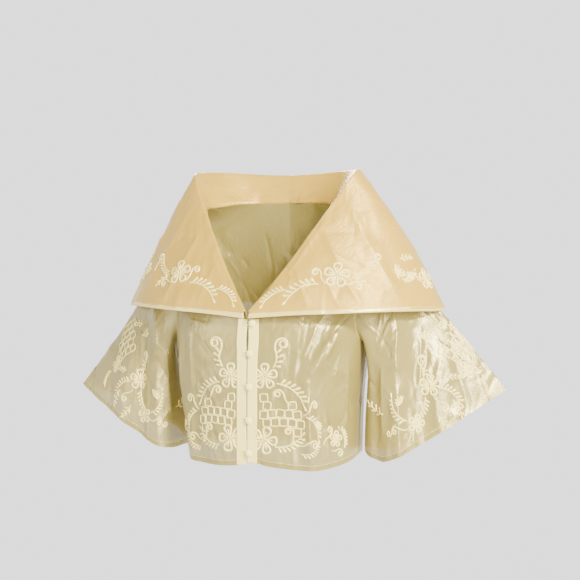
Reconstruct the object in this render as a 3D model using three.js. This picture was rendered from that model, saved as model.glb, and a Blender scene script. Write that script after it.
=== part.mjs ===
// A short bolero of stiff, sheer organza, worn open at the neck and closed down the middle with
// five covered buttons and thread loops. Two fronts, a back, two bell sleeves with a pressed fold
// along the top, and one deep collar that stands up round the neck, rolls over and falls to the
// upper arms. The cloth is shown hollow, in the pose that a wearer's shoulders give it.
//
// Millimetres. +Z is up, the front looks along -Y, and +X is the wearer's left. The origin is
// midway between the two neck points of the shoulder seams, where the garment hangs.

import * as THREE from "three";

// Cloth and seams
const CLOTH = 1.2; // wall that stands for one layer of organza
const BAND = 1.0; // wall of the folded bands down the front
const SEAM = 0.3; // gap between two pieces that are sewn together

// Cut of the body
const NECK_POINT = { x: 120, z: 2 }; // where the shoulder seam meets the collar
const SHOULDER_POINT = { x: 190, z: -28 }; // where the shoulder seam meets the sleeve
const SHOULDER_SLOPE = (NECK_POINT.z - SHOULDER_POINT.z) / (SHOULDER_POINT.x - NECK_POINT.x);
const NECK_RISE = { front: SHOULDER_SLOPE, back: 0.7 }; // of the body's top line, inside the neck
const FRONT_POINT_Z = -188; // bottom of the V neck
const UNDERARM_Z = -236;
const ROUNDNESS = 2.4; // power of the body's rounded-oblong plan
const CENTRE_GAP = 0.8; // each front stops this far from the middle
const GAPE = { z: -224, more: 1.4, reach: 20 }; // the closure gapes above the second button
const HEM_BACK_Z = -438;
const BACK_YOKE_Z = -200; // height at the middle of the back that is level with the underarm

// From the middle to each side of the body at each height, as it hangs
const WIDTHS = [
  { z: -450, right: 145, left: 164 },
  { z: -330, right: 160, left: 168 },
  { z: -236, right: 174, left: 178 },
  { z: -150, right: 186, left: 186 },
  { z: -28, right: 193, left: 193 },
  { z: 60, right: 193, left: 193 },
];

// How far the body stands out in front of and behind the shoulder seam. root is the square root
// of the height below the shoulder line, which rounds the cloth over the shoulder.
const DEPTHS = [
  { root: 0, front: 0, back: 0 },
  { root: 3, front: 27, back: 46 },
  { root: 5.5, front: 40, back: 76 },
  { root: 7.75, front: 51, back: 88 },
  { root: 10.5, front: 71, back: 98 },
  { root: 13, front: 94, back: 104 },
  { root: 14.8, front: 113, back: 107 },
  { root: 16.2, front: 121, back: 107 },
  { root: 18, front: 125, back: 105 },
  { root: 22.4, front: 127, back: 102 },
];

// Armhole, from the underarm (up 0) to the shoulder point (up 1). angle is degrees round the
// body's plan from its side.
const ARMHOLE = [
  { up: 0, z: UNDERARM_Z, angle: 0 },
  { up: 0.1, z: -229, angle: 12 },
  { up: 0.22, z: -207, angle: 21 },
  { up: 0.45, z: -155, angle: 25 },
  { up: 0.7, z: -96, angle: 25 },
  { up: 0.9, z: -47, angle: 18 },
  { up: 1, z: SHOULDER_POINT.z, angle: 10.94 },
];

// Neckline of a front, from the bottom of the V to the neck point
const FRONT_NECK = [
  { up: 0, x: 2.5, z: FRONT_POINT_Z },
  { up: 0.25, x: 34, z: -143 },
  { up: 0.5, x: 67, z: -94 },
  { up: 0.75, x: 98, z: -46 },
  { up: 0.9, x: 113, z: -14 },
  { up: 1, x: NECK_POINT.x, z: NECK_POINT.z },
];

// Neckline of the back, from its middle to the neck point
const BACK_NECK = [
  { along: 0, x: 0, z: 12 },
  { along: 0.35, x: 44, z: 12 },
  { along: 0.65, x: 82, z: 11 },
  { along: 0.85, x: 106, z: 6 },
  { along: 1, x: NECK_POINT.x, z: NECK_POINT.z },
];

// Hem of the fronts, from the middle (across 0) to the side seam (across 1). The wearer's left
// front hangs a little higher than the right one.
const HEMS = [
  { across: 0, right: -438, left: -433 },
  { across: 0.12, right: -443, left: -440 },
  { across: 0.45, right: -445, left: -446 },
  { across: 0.75, right: -442, left: -440 },
  { across: 1, right: -433, left: -430 },
];

// Sections of one half of the collar, from the front point (at 0) to the middle of the back
// (at 1): the neck seam, the roll line at the top, and the outer edge.
const COLLAR = [
  { at: 0, rollX: 3, rollY: -127, rollZ: -176, edgeX: 4, edgeY: -132, edgeZ: -188 },
  { at: 0.12, rollX: 34, rollY: -103, rollZ: -134, edgeX: 80, edgeY: -122, edgeZ: -182 },
  { at: 0.24, rollX: 66, rollY: -78, rollZ: -86, edgeX: 150, edgeY: -106, edgeZ: -179 },
  { at: 0.36, rollX: 96.5, rollY: -53, rollZ: -36, edgeX: 206, edgeY: -80, edgeZ: -177 },
  { at: 0.48, rollX: 126, rollY: -25, rollZ: 15, edgeX: 257, edgeY: -36, edgeZ: -177 },
  { at: 0.58, rollX: 152, rollY: 4, rollZ: 62, edgeX: 296, edgeY: 22, edgeZ: -179 },
  { at: 0.66, rollX: 151, rollY: 40, rollZ: 69, edgeX: 302, edgeY: 68, edgeZ: -179 },
  { at: 0.75, rollX: 134, rollY: 70, rollZ: 71, edgeX: 276, edgeY: 115, edgeZ: -178 },
  { at: 0.84, rollX: 98, rollY: 92, rollZ: 70, edgeX: 206, edgeY: 143, edgeZ: -178 },
  { at: 0.92, rollX: 50, rollY: 103, rollZ: 67, edgeX: 108, edgeY: 157, edgeZ: -179 },
  { at: 1, rollX: 0, rollY: 106, rollZ: 65, edgeX: 0, edgeY: 160, edgeZ: -180 },
];
const COLLAR_SHOULDER = 0.58; // where the collar passes the shoulder seam
const ROLL_RADIUS = 3; // of the fold along the top of the collar
const FALL_BOW = { right: 4, left: 9 }; // how far the fall bows out between roll and edge

// Sleeves. tip is the outer corner of the cuff, where the pressed fold along the top ends, reach
// is how the fold arrives there, and under is the cuff's inner corner. The two sleeves hang at
// slightly different heights.
const SLEEVES = [
  {
    name: "sleeve_right",
    side: -1,
    tip: [413, 44, -338],
    under: [172, 16, -420],
    reach: [0.65, 0, -0.75],
  },
  {
    name: "sleeve_left",
    side: 1,
    tip: [413, 44, -314],
    under: [174, 6, -418],
    reach: [0.6, 0, -0.76],
  },
];
const CUFF_DEPTH = 86; // half of how far the cuff stands open from front to back

// How far the cuff hangs below the straight line from its tip (across 0) to its inner corner
const CUFF_SAG = [
  { across: 0, right: 0, left: 0 },
  { across: 0.25, right: 3, left: 15 },
  { across: 0.55, right: 12, left: 32 },
  { across: 0.8, right: 25, left: 37 },
  { across: 0.93, right: 24, left: 20 },
  { across: 1, right: 15, left: 4 },
];
const LEAVE_TOP = { pull: 120, way: [0.45, 0.3, -0.84] }; // how the cloth leaves the armhole
const LEAVE_UNDER = { pull: 20, way: [0.86, 0, -0.5] };
const REACH_TIP = { pull: 130 }; // and how it reaches the cuff
const REACH_UNDER = { pull: 80, way: [0.03, 0, -1] };

// Largest folds, seen from the front or the back: from one end to the other, the width of the
// soft ridge to each side, and its height, which is negative for a trough.
const FOLDS = {
  front_left: [
    { x0: 172, z0: -172, x1: 106, z1: -290, width: 17, height: 9 },
    { x0: 106, z0: -290, x1: 114, z1: -450, width: 19, height: 8 },
    { x0: 146, z0: -262, x1: 146, z1: -450, width: 18, height: -6 },
    { x0: 60, z0: -350, x1: 64, z1: -450, width: 20, height: 3 },
  ],
  front_right: [
    { x0: 160, z0: -190, x1: 142, z1: -300, width: 18, height: 4 },
    { x0: 142, z0: -300, x1: 128, z1: -450, width: 20, height: 5 },
    { x0: 96, z0: -250, x1: 90, z1: -450, width: 20, height: -4 },
  ],
  back: [
    { x0: 96, z0: -210, x1: 106, z1: -450, width: 22, height: 5 },
    { x0: -84, z0: -190, x1: -100, z1: -450, width: 22, height: 5 },
    { x0: 34, z0: -260, x1: 30, z1: -450, width: 24, height: -5 },
    { x0: -30, z0: -280, x1: -38, z1: -450, width: 22, height: 3 },
  ],
  sleeve_left_front: [
    { x0: 226, z0: -150, x1: 236, z1: -262, width: 16, height: 8 },
    { x0: 236, z0: -262, x1: 246, z1: -450, width: 18, height: 9 },
    { x0: 200, z0: -240, x1: 206, z1: -450, width: 14, height: -5 },
    { x0: 270, z0: -200, x1: 288, z1: -430, width: 18, height: -5 },
    { x0: 300, z0: -230, x1: 334, z1: -410, width: 20, height: 3 },
  ],
  sleeve_left_back: [
    { x0: 222, z0: -150, x1: 242, z1: -440, width: 18, height: 7 },
    { x0: 262, z0: -210, x1: 290, z1: -430, width: 20, height: -5 },
    { x0: 300, z0: -230, x1: 336, z1: -400, width: 20, height: 4 },
  ],
  sleeve_right_front: [
    { x0: 220, z0: -150, x1: 206, z1: -262, width: 15, height: 8 },
    { x0: 206, z0: -262, x1: 210, z1: -450, width: 17, height: 9 },
    { x0: 242, z0: -190, x1: 250, z1: -440, width: 17, height: -6 },
    { x0: 274, z0: -200, x1: 284, z1: -430, width: 18, height: 4 },
  ],
  sleeve_right_back: [
    { x0: 224, z0: -150, x1: 236, z1: -440, width: 18, height: 7 },
    { x0: 258, z0: -210, x1: 280, z1: -430, width: 20, height: -5 },
    { x0: 300, z0: -240, x1: 330, z1: -410, width: 20, height: 4 },
  ],
};

// Buttons, down the edge of the wearer's left front, and the loops that hold them
const BUTTONS = [
  { x: 9, z: -196.5 },
  { x: 6.5, z: -248 },
  { x: 5.5, z: -304.5 },
  { x: 5, z: -361.5 },
  { x: 5, z: -417.5 },
];
const BUTTON_PROFILE = [
  { r: 0, h: 0 },
  { r: 1.6, h: 0 },
  { r: 1.6, h: 2.5 },
  { r: 5.4, h: 2.7 },
  { r: 6.2, h: 3.4 },
  { r: 5.9, h: 4.4 },
  { r: 4.4, h: 5.5 },
  { r: 2.3, h: 6.1 },
  { r: 0, h: 6.3 },
];
const LOOP = { radius: 0.75, round: 2.75, tail: 7, sides: 6, steps: 14 };
const BAND_WIDTH = 18; // of the folded bands down the front edges
const BAND_TOP_Z = FRONT_POINT_Z - 2;

// How finely each piece is divided
const ROWS = { body: 8, yoke: 12 }; // below and above the underarm
const COLUMNS = { front: 13, neck: 7, shoulder: 5 };
const SLEEVE_STEPS = { round: 48, along: 12 };
const COLLAR_STEPS = { front: 24, back: 14, stand: 3, roll: 4, fall: 7 };

const mix = (a, b, t) => a + (b - a) * t;
const radians = (degrees) => (degrees * Math.PI) / 180;
const vec = (x, y, z) => new THREE.Vector3(x, y, z);

// Reads one column of a table at a value of another, along a smooth curve through its rows.
function read(table, by, column, value) {
  const last = table.length - 1;
  const v = THREE.MathUtils.clamp(value, table[0][by], table[last][by]);
  let i = 0;
  while (i < last - 1 && v > table[i + 1][by]) i += 1;
  const slope = (k) => {
    const a = table[Math.max(k - 1, 0)];
    const b = table[Math.min(k + 1, last)];
    return (b[column] - a[column]) / (b[by] - a[by]);
  };
  const [p, q] = [table[i], table[i + 1]];
  const span = q[by] - p[by];
  const t = (v - p[by]) / span;
  const bend = t * t * (3 - 2 * t);
  return (
    p[column] * (1 - bend) +
    q[column] * bend +
    slope(i) * span * t * (1 - t) * (1 - t) -
    slope(i + 1) * span * t * t * (1 - t)
  );
}

// How far the folds in a list raise the cloth at a place seen from the front or the back.
function foldHeight(list, x, z) {
  return list.reduce((sum, f) => {
    const [dx, dz] = [f.x1 - f.x0, f.z1 - f.z0];
    const t = ((x - f.x0) * dx + (z - f.z0) * dz) / (dx * dx + dz * dz);
    const near = THREE.MathUtils.clamp(t, 0, 1);
    const off = Math.hypot(x - f.x0 - near * dx, z - f.z0 - near * dz) / f.width;
    const fade = THREE.MathUtils.smoothstep(t, -0.05, 0.3);
    return sum + f.height * fade * Math.exp(-off * off);
  }, 0);
}

const handOf = (side) => (side < 0 ? "right" : "left");
const halfWidth = (z, side) => read(WIDTHS, "z", handOf(side), z);

// The height of the body's top line at a distance from the middle.
function topLine(x, face) {
  const inward = NECK_POINT.x - Math.abs(x);
  return NECK_POINT.z + inward * (inward > 0 ? NECK_RISE[face] : SHOULDER_SLOPE);
}

// The body's cloth at a place on one side of the middle, seen from the front (face "front") or
// the back (face "back"). x is the distance from the middle, on either side.
function torso(x, z, face, side) {
  const across = Math.min(Math.abs(x) / halfWidth(z, side), 1);
  const y = depthAt(x, z, face) * (1 - across ** ROUNDNESS) ** (1 / ROUNDNESS);
  return vec(x, face === "front" ? -y : y, z);
}

function depthAt(x, z, face) {
  return read(DEPTHS, "root", face, Math.sqrt(Math.max(topLine(x, face) - z, 0)));
}

// The way that the body's cloth faces at a place, from the slope of its rounded-oblong form.
function torsoFacing({ x, y, z }) {
  const [face, side] = [y < 0 ? "front" : "back", Math.sign(x)];
  const fill = (px, py, pz) =>
    Math.abs(px / halfWidth(pz, side)) ** ROUNDNESS +
    Math.abs(py / depthAt(px, pz, face)) ** ROUNDNESS;
  const step = 0.5;
  return vec(
    fill(x + step, y, z) - fill(x - step, y, z),
    fill(x, y + step, z) - fill(x, y - step, z),
    fill(x, y, z + step) - fill(x, y, z - step),
  ).normalize();
}

// x on the body's plan at an angle from its side.
const atAngle = (angle, z, side) =>
  halfWidth(z, side) * Math.cos(radians(angle)) ** (2 / ROUNDNESS);
const angleOf = (x, z, side) =>
  THREE.MathUtils.radToDeg(Math.acos(Math.min(1, (x / halfWidth(z, side)) ** (ROUNDNESS / 2))));

function armhole(up, face, side) {
  const z = read(ARMHOLE, "up", "z", up);
  const x = up === 0 ? halfWidth(z, side) : atAngle(read(ARMHOLE, "up", "angle", up), z, side);
  return torso(x, z, face, side);
}

// The cloth between an inner and an outer place at one level. up is 0 below the underarm and
// runs to 1 at the shoulder seam, where the spacing becomes even along the seam.
function acrossBody(inner, outer, u, up, face, side) {
  const z = mix(inner.z, outer.z, u);
  const [from, to] = [angleOf(inner.x, inner.z, side), angleOf(outer.x, outer.z, side)];
  const curved = atAngle(mix(from, to, u), z, side);
  return torso(mix(curved, mix(inner.x, outer.x, u), up), z, face, side);
}

// The height of the row of points that ends at the underarm. It comes in nearly level.
const yokeLevel = (middleZ, u) => mix(UNDERARM_Z, middleZ, (1 - u) ** 1.6);

const centreEdge = (z) =>
  CENTRE_GAP + GAPE.more * Math.exp(-(((z - GAPE.z) / GAPE.reach) ** 2));

// One front as a grid of points from the middle out, and from the hem up.
function frontGrid(name, side) {
  const hand = handOf(side);
  const grid = [];
  for (let j = 0; j <= ROWS.body + ROWS.yoke; j += 1) {
    const low = Math.min(j / ROWS.body, 1);
    const up = Math.max(j - ROWS.body, 0) / ROWS.yoke;
    const row = [];
    for (let i = 0; i <= COLUMNS.front; i += 1) {
      const u = i / COLUMNS.front;
      const hem = read(HEMS, "across", hand, u);
      const z = mix(hem, yokeLevel(FRONT_POINT_Z, u), low);
      let point;
      if (up === 0) {
        const x = atAngle(mix(angleOf(centreEdge(z), z, side), 0, u), z, side);
        point = torso(i === COLUMNS.front ? halfWidth(z, side) : x, z, "front", side);
      } else {
        const inner = { x: read(FRONT_NECK, "up", "x", up), z: read(FRONT_NECK, "up", "z", up) };
        point = acrossBody(inner, armhole(up, "front", side), u, up, "front", side);
      }
      const edge = Math.min(1, (1 - u) * 6) * Math.min(1, (1 - up) * 2);
      point.y -= foldHeight(FOLDS[name], point.x, point.z) * edge + SEAM / 2;
      row.push(point.setX(point.x * side));
    }
    grid.push(row);
  }
  return grid;
}

// The back as a grid of points from the wearer's right to left, and from the hem up.
function backGrid() {
  const half = COLUMNS.neck + COLUMNS.shoulder;
  const grid = [];
  for (let j = 0; j <= ROWS.body + ROWS.yoke; j += 1) {
    const low = Math.min(j / ROWS.body, 1);
    const up = Math.max(j - ROWS.body, 0) / ROWS.yoke;
    const row = [];
    for (let i = -half; i <= half; i += 1) {
      const u = Math.abs(i) / half;
      const side = i < 0 ? -1 : 1;
      const hem = mix(HEM_BACK_Z, HEMS.at(-1)[handOf(side)], u * u);
      const arm = armhole(up, "back", side);
      const level = yokeLevel(BACK_YOKE_Z, u);
      let point;
      if (up === 0) {
        const z = mix(hem, level, low);
        const x = u === 1 ? halfWidth(z, side) : atAngle(mix(90, 0, u), z, side);
        point = torso(x, z, "back", side);
      } else {
        const [onNeck, pastNeck] = [
          Math.min((u * half) / COLUMNS.neck, 1),
          Math.max(u * half - COLUMNS.neck, 0) / COLUMNS.shoulder,
        ];
        const top = {
          x: mix(read(BACK_NECK, "along", "x", onNeck), SHOULDER_POINT.x, pastNeck),
          z: mix(read(BACK_NECK, "along", "z", onNeck), SHOULDER_POINT.z, pastNeck),
        };
        const armShare = (arm.z - UNDERARM_Z) / (SHOULDER_POINT.z - UNDERARM_Z);
        const z = mix(level, top.z, mix(up, armShare, u));
        const fan = atAngle(mix(90, angleOf(arm.x, arm.z, side), u), z, side);
        point = torso(u === 1 ? arm.x : mix(fan, top.x, up), z, "back", side);
      }
      const edge = Math.min(1, (1 - u) * 6) * Math.min(1, (1 - up) * 2);
      point.y += foldHeight(FOLDS.back, point.x * side, point.z) * edge + SEAM / 2;
      row.push(point.setX(point.x * side));
    }
    grid.push(row);
  }
  return grid;
}

// Unit normals of a grid of points. A ring's rows close on themselves.
function normals(grid, ring) {
  return grid.map((row, j) =>
    row.map((_, i) => {
      const n = row.length;
      const [left, right] = ring
        ? [row[(i + n - 1) % n], row[(i + 1) % n]]
        : [row[Math.max(i - 1, 0)], row[Math.min(i + 1, n - 1)]];
      const below = grid[Math.max(j - 1, 0)][i];
      const above = grid[Math.min(j + 1, grid.length - 1)][i];
      return right.clone().sub(left).cross(above.clone().sub(below)).normalize();
    }),
  );
}

// A closed wall of even thickness with the grid's points on its middle surface. Each cell is
// divided along its shorter diagonal.
function wall(grid, thickness, { ring = false, facing = normals(grid, ring) } = {}) {
  const [rows, columns] = [grid.length, grid[0].length];
  const positions = [];
  [0.5, -0.5].forEach((share) =>
    grid.forEach((row, j) =>
      row.forEach((p, i) =>
        positions.push(...p.clone().addScaledVector(facing[j][i], share * thickness).toArray()),
      ),
    ),
  );
  const inner = rows * columns;
  const at = (j, i) => j * columns + (i % columns);
  const index = [];
  const quad = (a, b, c, d) => index.push(a, b, c, a, c, d);
  const points = grid.flat();
  const across = ring ? columns : columns - 1;
  for (let j = 0; j < rows - 1; j += 1)
    for (let i = 0; i < across; i += 1) {
      const [a, b, c, d] = [at(j, i), at(j, i + 1), at(j + 1, i + 1), at(j + 1, i)];
      if (points[a].distanceTo(points[c]) <= points[b].distanceTo(points[d])) {
        quad(a, b, c, d);
        quad(inner + a, inner + d, inner + c, inner + b);
      } else {
        quad(b, c, d, a);
        quad(inner + b, inner + a, inner + d, inner + c);
      }
    }
  for (let i = 0; i < across; i += 1) {
    quad(at(0, i + 1), at(0, i), inner + at(0, i), inner + at(0, i + 1));
    quad(at(rows - 1, i), at(rows - 1, i + 1), inner + at(rows - 1, i + 1), inner + at(rows - 1, i));
  }
  if (!ring)
    for (let j = 0; j < rows - 1; j += 1) {
      const end = columns - 1;
      quad(at(j, 0), at(j + 1, 0), inner + at(j + 1, 0), inner + at(j, 0));
      quad(at(j + 1, end), at(j, end), inner + at(j, end), inner + at(j + 1, end));
    }
  return facingOut(positions, index);
}

// A geometry from positions and an index, turned round if its faces point in.
function facingOut(positions, index) {
  const corner = (k) => vec(...positions.slice(3 * index[k], 3 * index[k] + 3));
  let volume = 0;
  for (let k = 0; k < index.length; k += 3)
    volume += corner(k).dot(corner(k + 1).cross(corner(k + 2)));
  if (volume < 0)
    for (let k = 0; k < index.length; k += 3)
      [index[k + 1], index[k + 2]] = [index[k + 2], index[k + 1]];
  return new THREE.BufferGeometry()
    .setAttribute("position", new THREE.Float32BufferAttribute(positions, 3))
    .setIndex(index);
}

// Normals of a body panel. Toward the underarm, where the grid's rows run along the armhole, they
// come from the form itself, and along the side and shoulder seams they keep both walls level.
function panelNormals(grid) {
  const all = normals(grid, false);
  grid.forEach((row, j) =>
    row.forEach((p, i) => {
      const outer = Math.abs(p.x) > 0.7 * halfWidth(p.z, Math.sign(p.x));
      const facing = all[j][i];
      if (outer && p.z < UNDERARM_Z + 70) {
        const form = torsoFacing(p);
        facing.copy(facing.dot(form) < 0 ? form.negate() : form);
      }
      if (Math.abs(p.y) < SEAM) facing.setY(0).normalize();
    }),
  );
  return all;
}

// How far from a panel's edge a wall starts that leaves it at an angle, so that the corners of
// both keep the gap. Past a right angle the wall folds back over the panel's face.
function seamGap(out, way) {
  const lean = out.clone().cross(way).length();
  const back = -out.dot(way);
  return back > 0 ? (SEAM + (CLOTH / 2) * (1 + back)) / lean : SEAM + (CLOTH / 2) * lean;
}

// Removes from a vector its part along a direction.
const squareTo = (v, way) => {
  const unit = way.clone().normalize();
  return v.clone().addScaledVector(unit, -v.dot(unit));
};

// A place on a line of points, between two of them.
function onLine(line, at) {
  const i = THREE.MathUtils.clamp(Math.floor(at), 0, line.length - 2);
  return line[i].clone().lerp(line[i + 1], THREE.MathUtils.clamp(at - i, 0, 1));
}

// A place on a panel's edge between its points, and the way out of the panel there, in the
// panel's own surface. facing holds the panel's normals along the edge, and inner holds places
// that lie within the panel beside each point of the edge.
function onEdge(edge, facing, inner, at) {
  const i = Math.min(Math.floor(at), edge.length - 2);
  const t = at - i;
  const point = onLine(edge, at);
  const along = onLine(edge, at + 0.5).sub(onLine(edge, at - 0.5));
  const out = facing[i].clone().lerp(facing[i + 1], t).cross(along).normalize();
  if (out.dot(point.clone().sub(inner[i])) < 0) out.negate();
  return { point, out };
}

// How far down its paths a ring of the sleeve lies.
const ringShare = (j) => (j / SLEEVE_STEPS.along) ** 1.15;

// One sleeve as rings from the armhole to the cuff. Angle 0 is the pressed fold along the top,
// and the front comes first.
function sleeveGrid({ name, side, tip, under, reach: arriving }, front, back) {
  const top = vec(...tip);
  const low = vec(...under);
  const centre = top.clone().add(low).multiplyScalar(0.5);
  const reach = top.clone().sub(low).multiplyScalar(0.5);
  const panels = { front, back };
  const facings = { front: panelNormals(front), back: panelNormals(back) };
  const sections = [];
  for (let k = 0; k < SLEEVE_STEPS.round; k += 1) {
    const turn = (2 * k) / SLEEVE_STEPS.round; // 0 at the top, 1 under the arm
    const face = turn <= 1 ? "front" : "back";
    const fromTop = turn <= 1 ? turn : 2 - turn;
    const angle = Math.PI * turn;
    const outer = side < 0 && face === "back" ? 0 : panels[face][0].length - 1;
    const within = outer === 0 ? 4 : outer - 4;
    const mirror = (p) => p.clone().multiply(vec(side, 1, 1));
    const column = (grid, row, k) => grid.slice(row, row + ROWS.yoke + 1).map((r) => mirror(r[k]));
    const { point, out } = onEdge(
      column(panels[face], ROWS.body, outer),
      column(facings[face], ROWS.body, outer),
      column(panels[face], ROWS.body - 4, within),
      (1 - fromTop) * ROWS.yoke,
    );
    if (fromTop === 0 || fromTop === 1) point.setY(0);
    if (fromTop === 1) out.set(0, 0, 1);
    if (fromTop === 0) out.set(1, 0, -SHOULDER_SLOPE).normalize();
    const topness = (1 + Math.cos(angle)) / 2;
    const blend = (a, b) => vec(...b).lerp(vec(...a), topness).normalize();
    const leave = blend(LEAVE_TOP.way, LEAVE_UNDER.way);
    const arrive = blend(arriving, REACH_UNDER.way);
    const cuff = centre.clone().addScaledVector(reach, Math.cos(angle));
    cuff.y -= CUFF_DEPTH * Math.sin(angle) * Math.abs(Math.sin(angle / 2));
    cuff.z -= read(CUFF_SAG, "across", handOf(side), 1 - topness);
    const pathFrom = (start) =>
      new THREE.CubicBezierCurve3(
        start,
        start.clone().addScaledVector(leave, mix(LEAVE_UNDER.pull, LEAVE_TOP.pull, topness)),
        cuff.clone().addScaledVector(arrive, -mix(REACH_UNDER.pull, REACH_TIP.pull, topness)),
        cuff,
      );
    const first = pathFrom(point).getPoint(ringShare(1)).sub(point).normalize();
    sections.push({ path: pathFrom(point.clone().addScaledVector(out, seamGap(out, first))), face });
  }
  const rings = [];
  for (let j = 0; j <= SLEEVE_STEPS.along; j += 1)
    rings.push(sections.map(({ path }) => path.getPoint(ringShare(j))));
  const outward = normals(rings, true);
  const shaped = rings.map((ring, j) =>
    ring.map((p, k) => {
      const grown = THREE.MathUtils.smoothstep(j / SLEEVE_STEPS.along, 0, 0.35);
      const list = FOLDS[name + "_" + sections[k].face];
      const out = outward[j][k];
      const away = sections[k].face === "front" ? -Math.sign(out.y) : Math.sign(out.y);
      const edge = Math.min(1, Math.abs(Math.sin((2 * Math.PI * k) / SLEEVE_STEPS.round)) * 3);
      return p.clone().addScaledVector(out, away * grown * edge * foldHeight(list, p.x, p.z));
    }),
  );
  return shaped.map((ring) => ring.map((p) => p.setX(p.x * side)));
}

// The neck seam at a station of the collar's half, and the way out of the body panel there.
function neckSeam(at, front, back) {
  const middle = COLUMNS.neck + COLUMNS.shoulder;
  if (at <= COLLAR_SHOULDER) {
    const column = (grid, k) => grid.slice(ROWS.body).map((row) => row[k]);
    const up = (at / COLLAR_SHOULDER) * ROWS.yoke;
    return onEdge(column(front, 0), column(panelNormals(front), 0), column(front, 4), up);
  }
  const half = (row) => row.slice(middle, middle + COLUMNS.neck + 1).reverse();
  const along = ((at - COLLAR_SHOULDER) / (1 - COLLAR_SHOULDER)) * COLUMNS.neck;
  return onEdge(half(back.at(-1)), half(panelNormals(back).at(-1)), half(back.at(-4)), along);
}

// One section of the collar: up the stand, over the roll, and down the fall.
function collarSection(at, front, back, fallBow) {
  const place = (curve, where) =>
    vec(...["X", "Y", "Z"].map((axis) => read(COLLAR, "at", curve + axis, where)));
  const roll = place("roll", at);
  const edge = place("edge", at);
  const step = 0.01;
  const along = place("roll", Math.min(at + step, 1)).sub(place("roll", Math.max(at - step, 0)));
  const { point: seam, out } = neckSeam(at, front, back);
  if (at === COLLAR_SHOULDER) seam.setY(0);
  const down = squareTo(seam.clone().sub(roll).normalize(), along).normalize();
  const over = squareTo(edge.clone().sub(roll).normalize(), along).normalize();
  const apex = down.clone().add(over).normalize().negate();
  const outward = squareTo(over, apex).normalize();
  const half = Math.acos(THREE.MathUtils.clamp(down.dot(over), -1, 1)) / 2;
  const centre = roll.clone().addScaledVector(apex, -ROLL_RADIUS);
  const sweep = Math.PI / 2 - half;
  const arc = [];
  for (let k = 0; k <= COLLAR_STEPS.roll; k += 1) {
    const turn = mix(-sweep, sweep, k / COLLAR_STEPS.roll);
    arc.push(
      centre
        .clone()
        .addScaledVector(apex, ROLL_RADIUS * Math.cos(turn))
        .addScaledVector(outward, ROLL_RADIUS * Math.sin(turn)),
    );
  }
  const rise = arc[0].clone().sub(seam).normalize();
  seam.addScaledVector(out, seamGap(out, rise));
  const section = [];
  for (let k = 0; k < COLLAR_STEPS.stand; k += 1)
    section.push(seam.clone().lerp(arc[0], k / COLLAR_STEPS.stand));
  section.push(...arc);
  const start = arc.at(-1);
  const length = edge.distanceTo(start);
  const bow = fallBow * Math.min(1, length / 150);
  const face = squareTo(outward, edge.clone().sub(start)).normalize();
  for (let k = 1; k <= COLLAR_STEPS.fall; k += 1) {
    const t = k / COLLAR_STEPS.fall;
    section.push(start.clone().lerp(edge, t).addScaledVector(face, bow * 4 * t * (1 - t)));
  }
  return section;
}

// The whole collar as a grid: rows run round the neck from the wearer's right front to the left,
// and each row of points is one section.
function collarGrid(front, back) {
  const stations = [];
  for (let k = 0; k <= COLLAR_STEPS.front; k += 1)
    stations.push((COLLAR_SHOULDER * k) / COLLAR_STEPS.front);
  for (let k = 1; k <= COLLAR_STEPS.back; k += 1)
    stations.push(mix(COLLAR_SHOULDER, 1, k / COLLAR_STEPS.back));
  const middle = (FALL_BOW.right + FALL_BOW.left) / 2;
  const halfOf = (hand) =>
    stations.map((at) => {
      const bow = mix(FALL_BOW[hand], middle, THREE.MathUtils.smoothstep(at, 0.66, 1));
      return collarSection(at, front, back, bow);
    });
  const left = halfOf("left");
  left.at(-1).forEach((p) => p.setX(0));
  const right = halfOf("right").map((section) => section.map((p) => p.setX(-p.x)));
  return [...right.slice(0, -1), ...left.reverse()];
}

// A folded band along the edge of one front, just proud of its cloth.
function bandGrid(name, side) {
  const hem = read(HEMS, "across", handOf(side), 0.03);
  const rows = 12;
  const grid = [];
  for (let j = 0; j <= rows; j += 1) {
    const z = mix(hem, BAND_TOP_Z, j / rows);
    grid.push(
      [0, 0.5, 1].map((share) => {
        const x = centreEdge(z) + BAND_WIDTH * share;
        const point = torso(x, z, "front", side);
        point.y -= foldHeight(FOLDS[name], x, z) + CLOTH / 2 + SEAM * 1.5 + BAND / 2;
        return point.setX(x * side);
      }),
    );
  }
  return grid;
}

const bandFace = (z) => torso(0, z, "front", 1).y - CLOTH / 2 - SEAM * 1.5 - BAND;

function button({ x, z }) {
  const profile = BUTTON_PROFILE.map(({ r, h }) => new THREE.Vector2(r, h));
  const geometry = new THREE.LatheGeometry(profile, 14);
  geometry.rotateX(Math.PI);
  return { geometry, position: vec(x, bandFace(z) - SEAM, z) };
}

function loop({ x, z }) {
  const [near, far, r] = [-LOOP.tail, x, LOOP.round];
  const points = [vec(near, 0, r), vec(near / 2, 0, r), vec(0, 0, r)];
  for (let k = 0; k <= 6; k += 1) {
    const turn = mix(Math.PI / 2, -Math.PI / 2, k / 6);
    points.push(vec(far + r * Math.cos(turn), 0, r * Math.sin(turn)));
  }
  points.push(vec(0, 0, -r), vec(near / 2, 0, -r), vec(near, 0, -r));
  const outline = [];
  for (let k = 0; k < LOOP.sides; k += 1) {
    const turn = (2 * Math.PI * k) / LOOP.sides;
    outline.push(new THREE.Vector2(LOOP.radius * Math.cos(turn), LOOP.radius * Math.sin(turn)));
  }
  const geometry = new THREE.ExtrudeGeometry(new THREE.Shape(outline), {
    steps: LOOP.steps,
    bevelEnabled: false,
    extrudePath: new THREE.CatmullRomCurve3(points),
  });
  return { geometry, position: vec(0, bandFace(z) - SEAM - LOOP.radius, z) };
}

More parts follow.
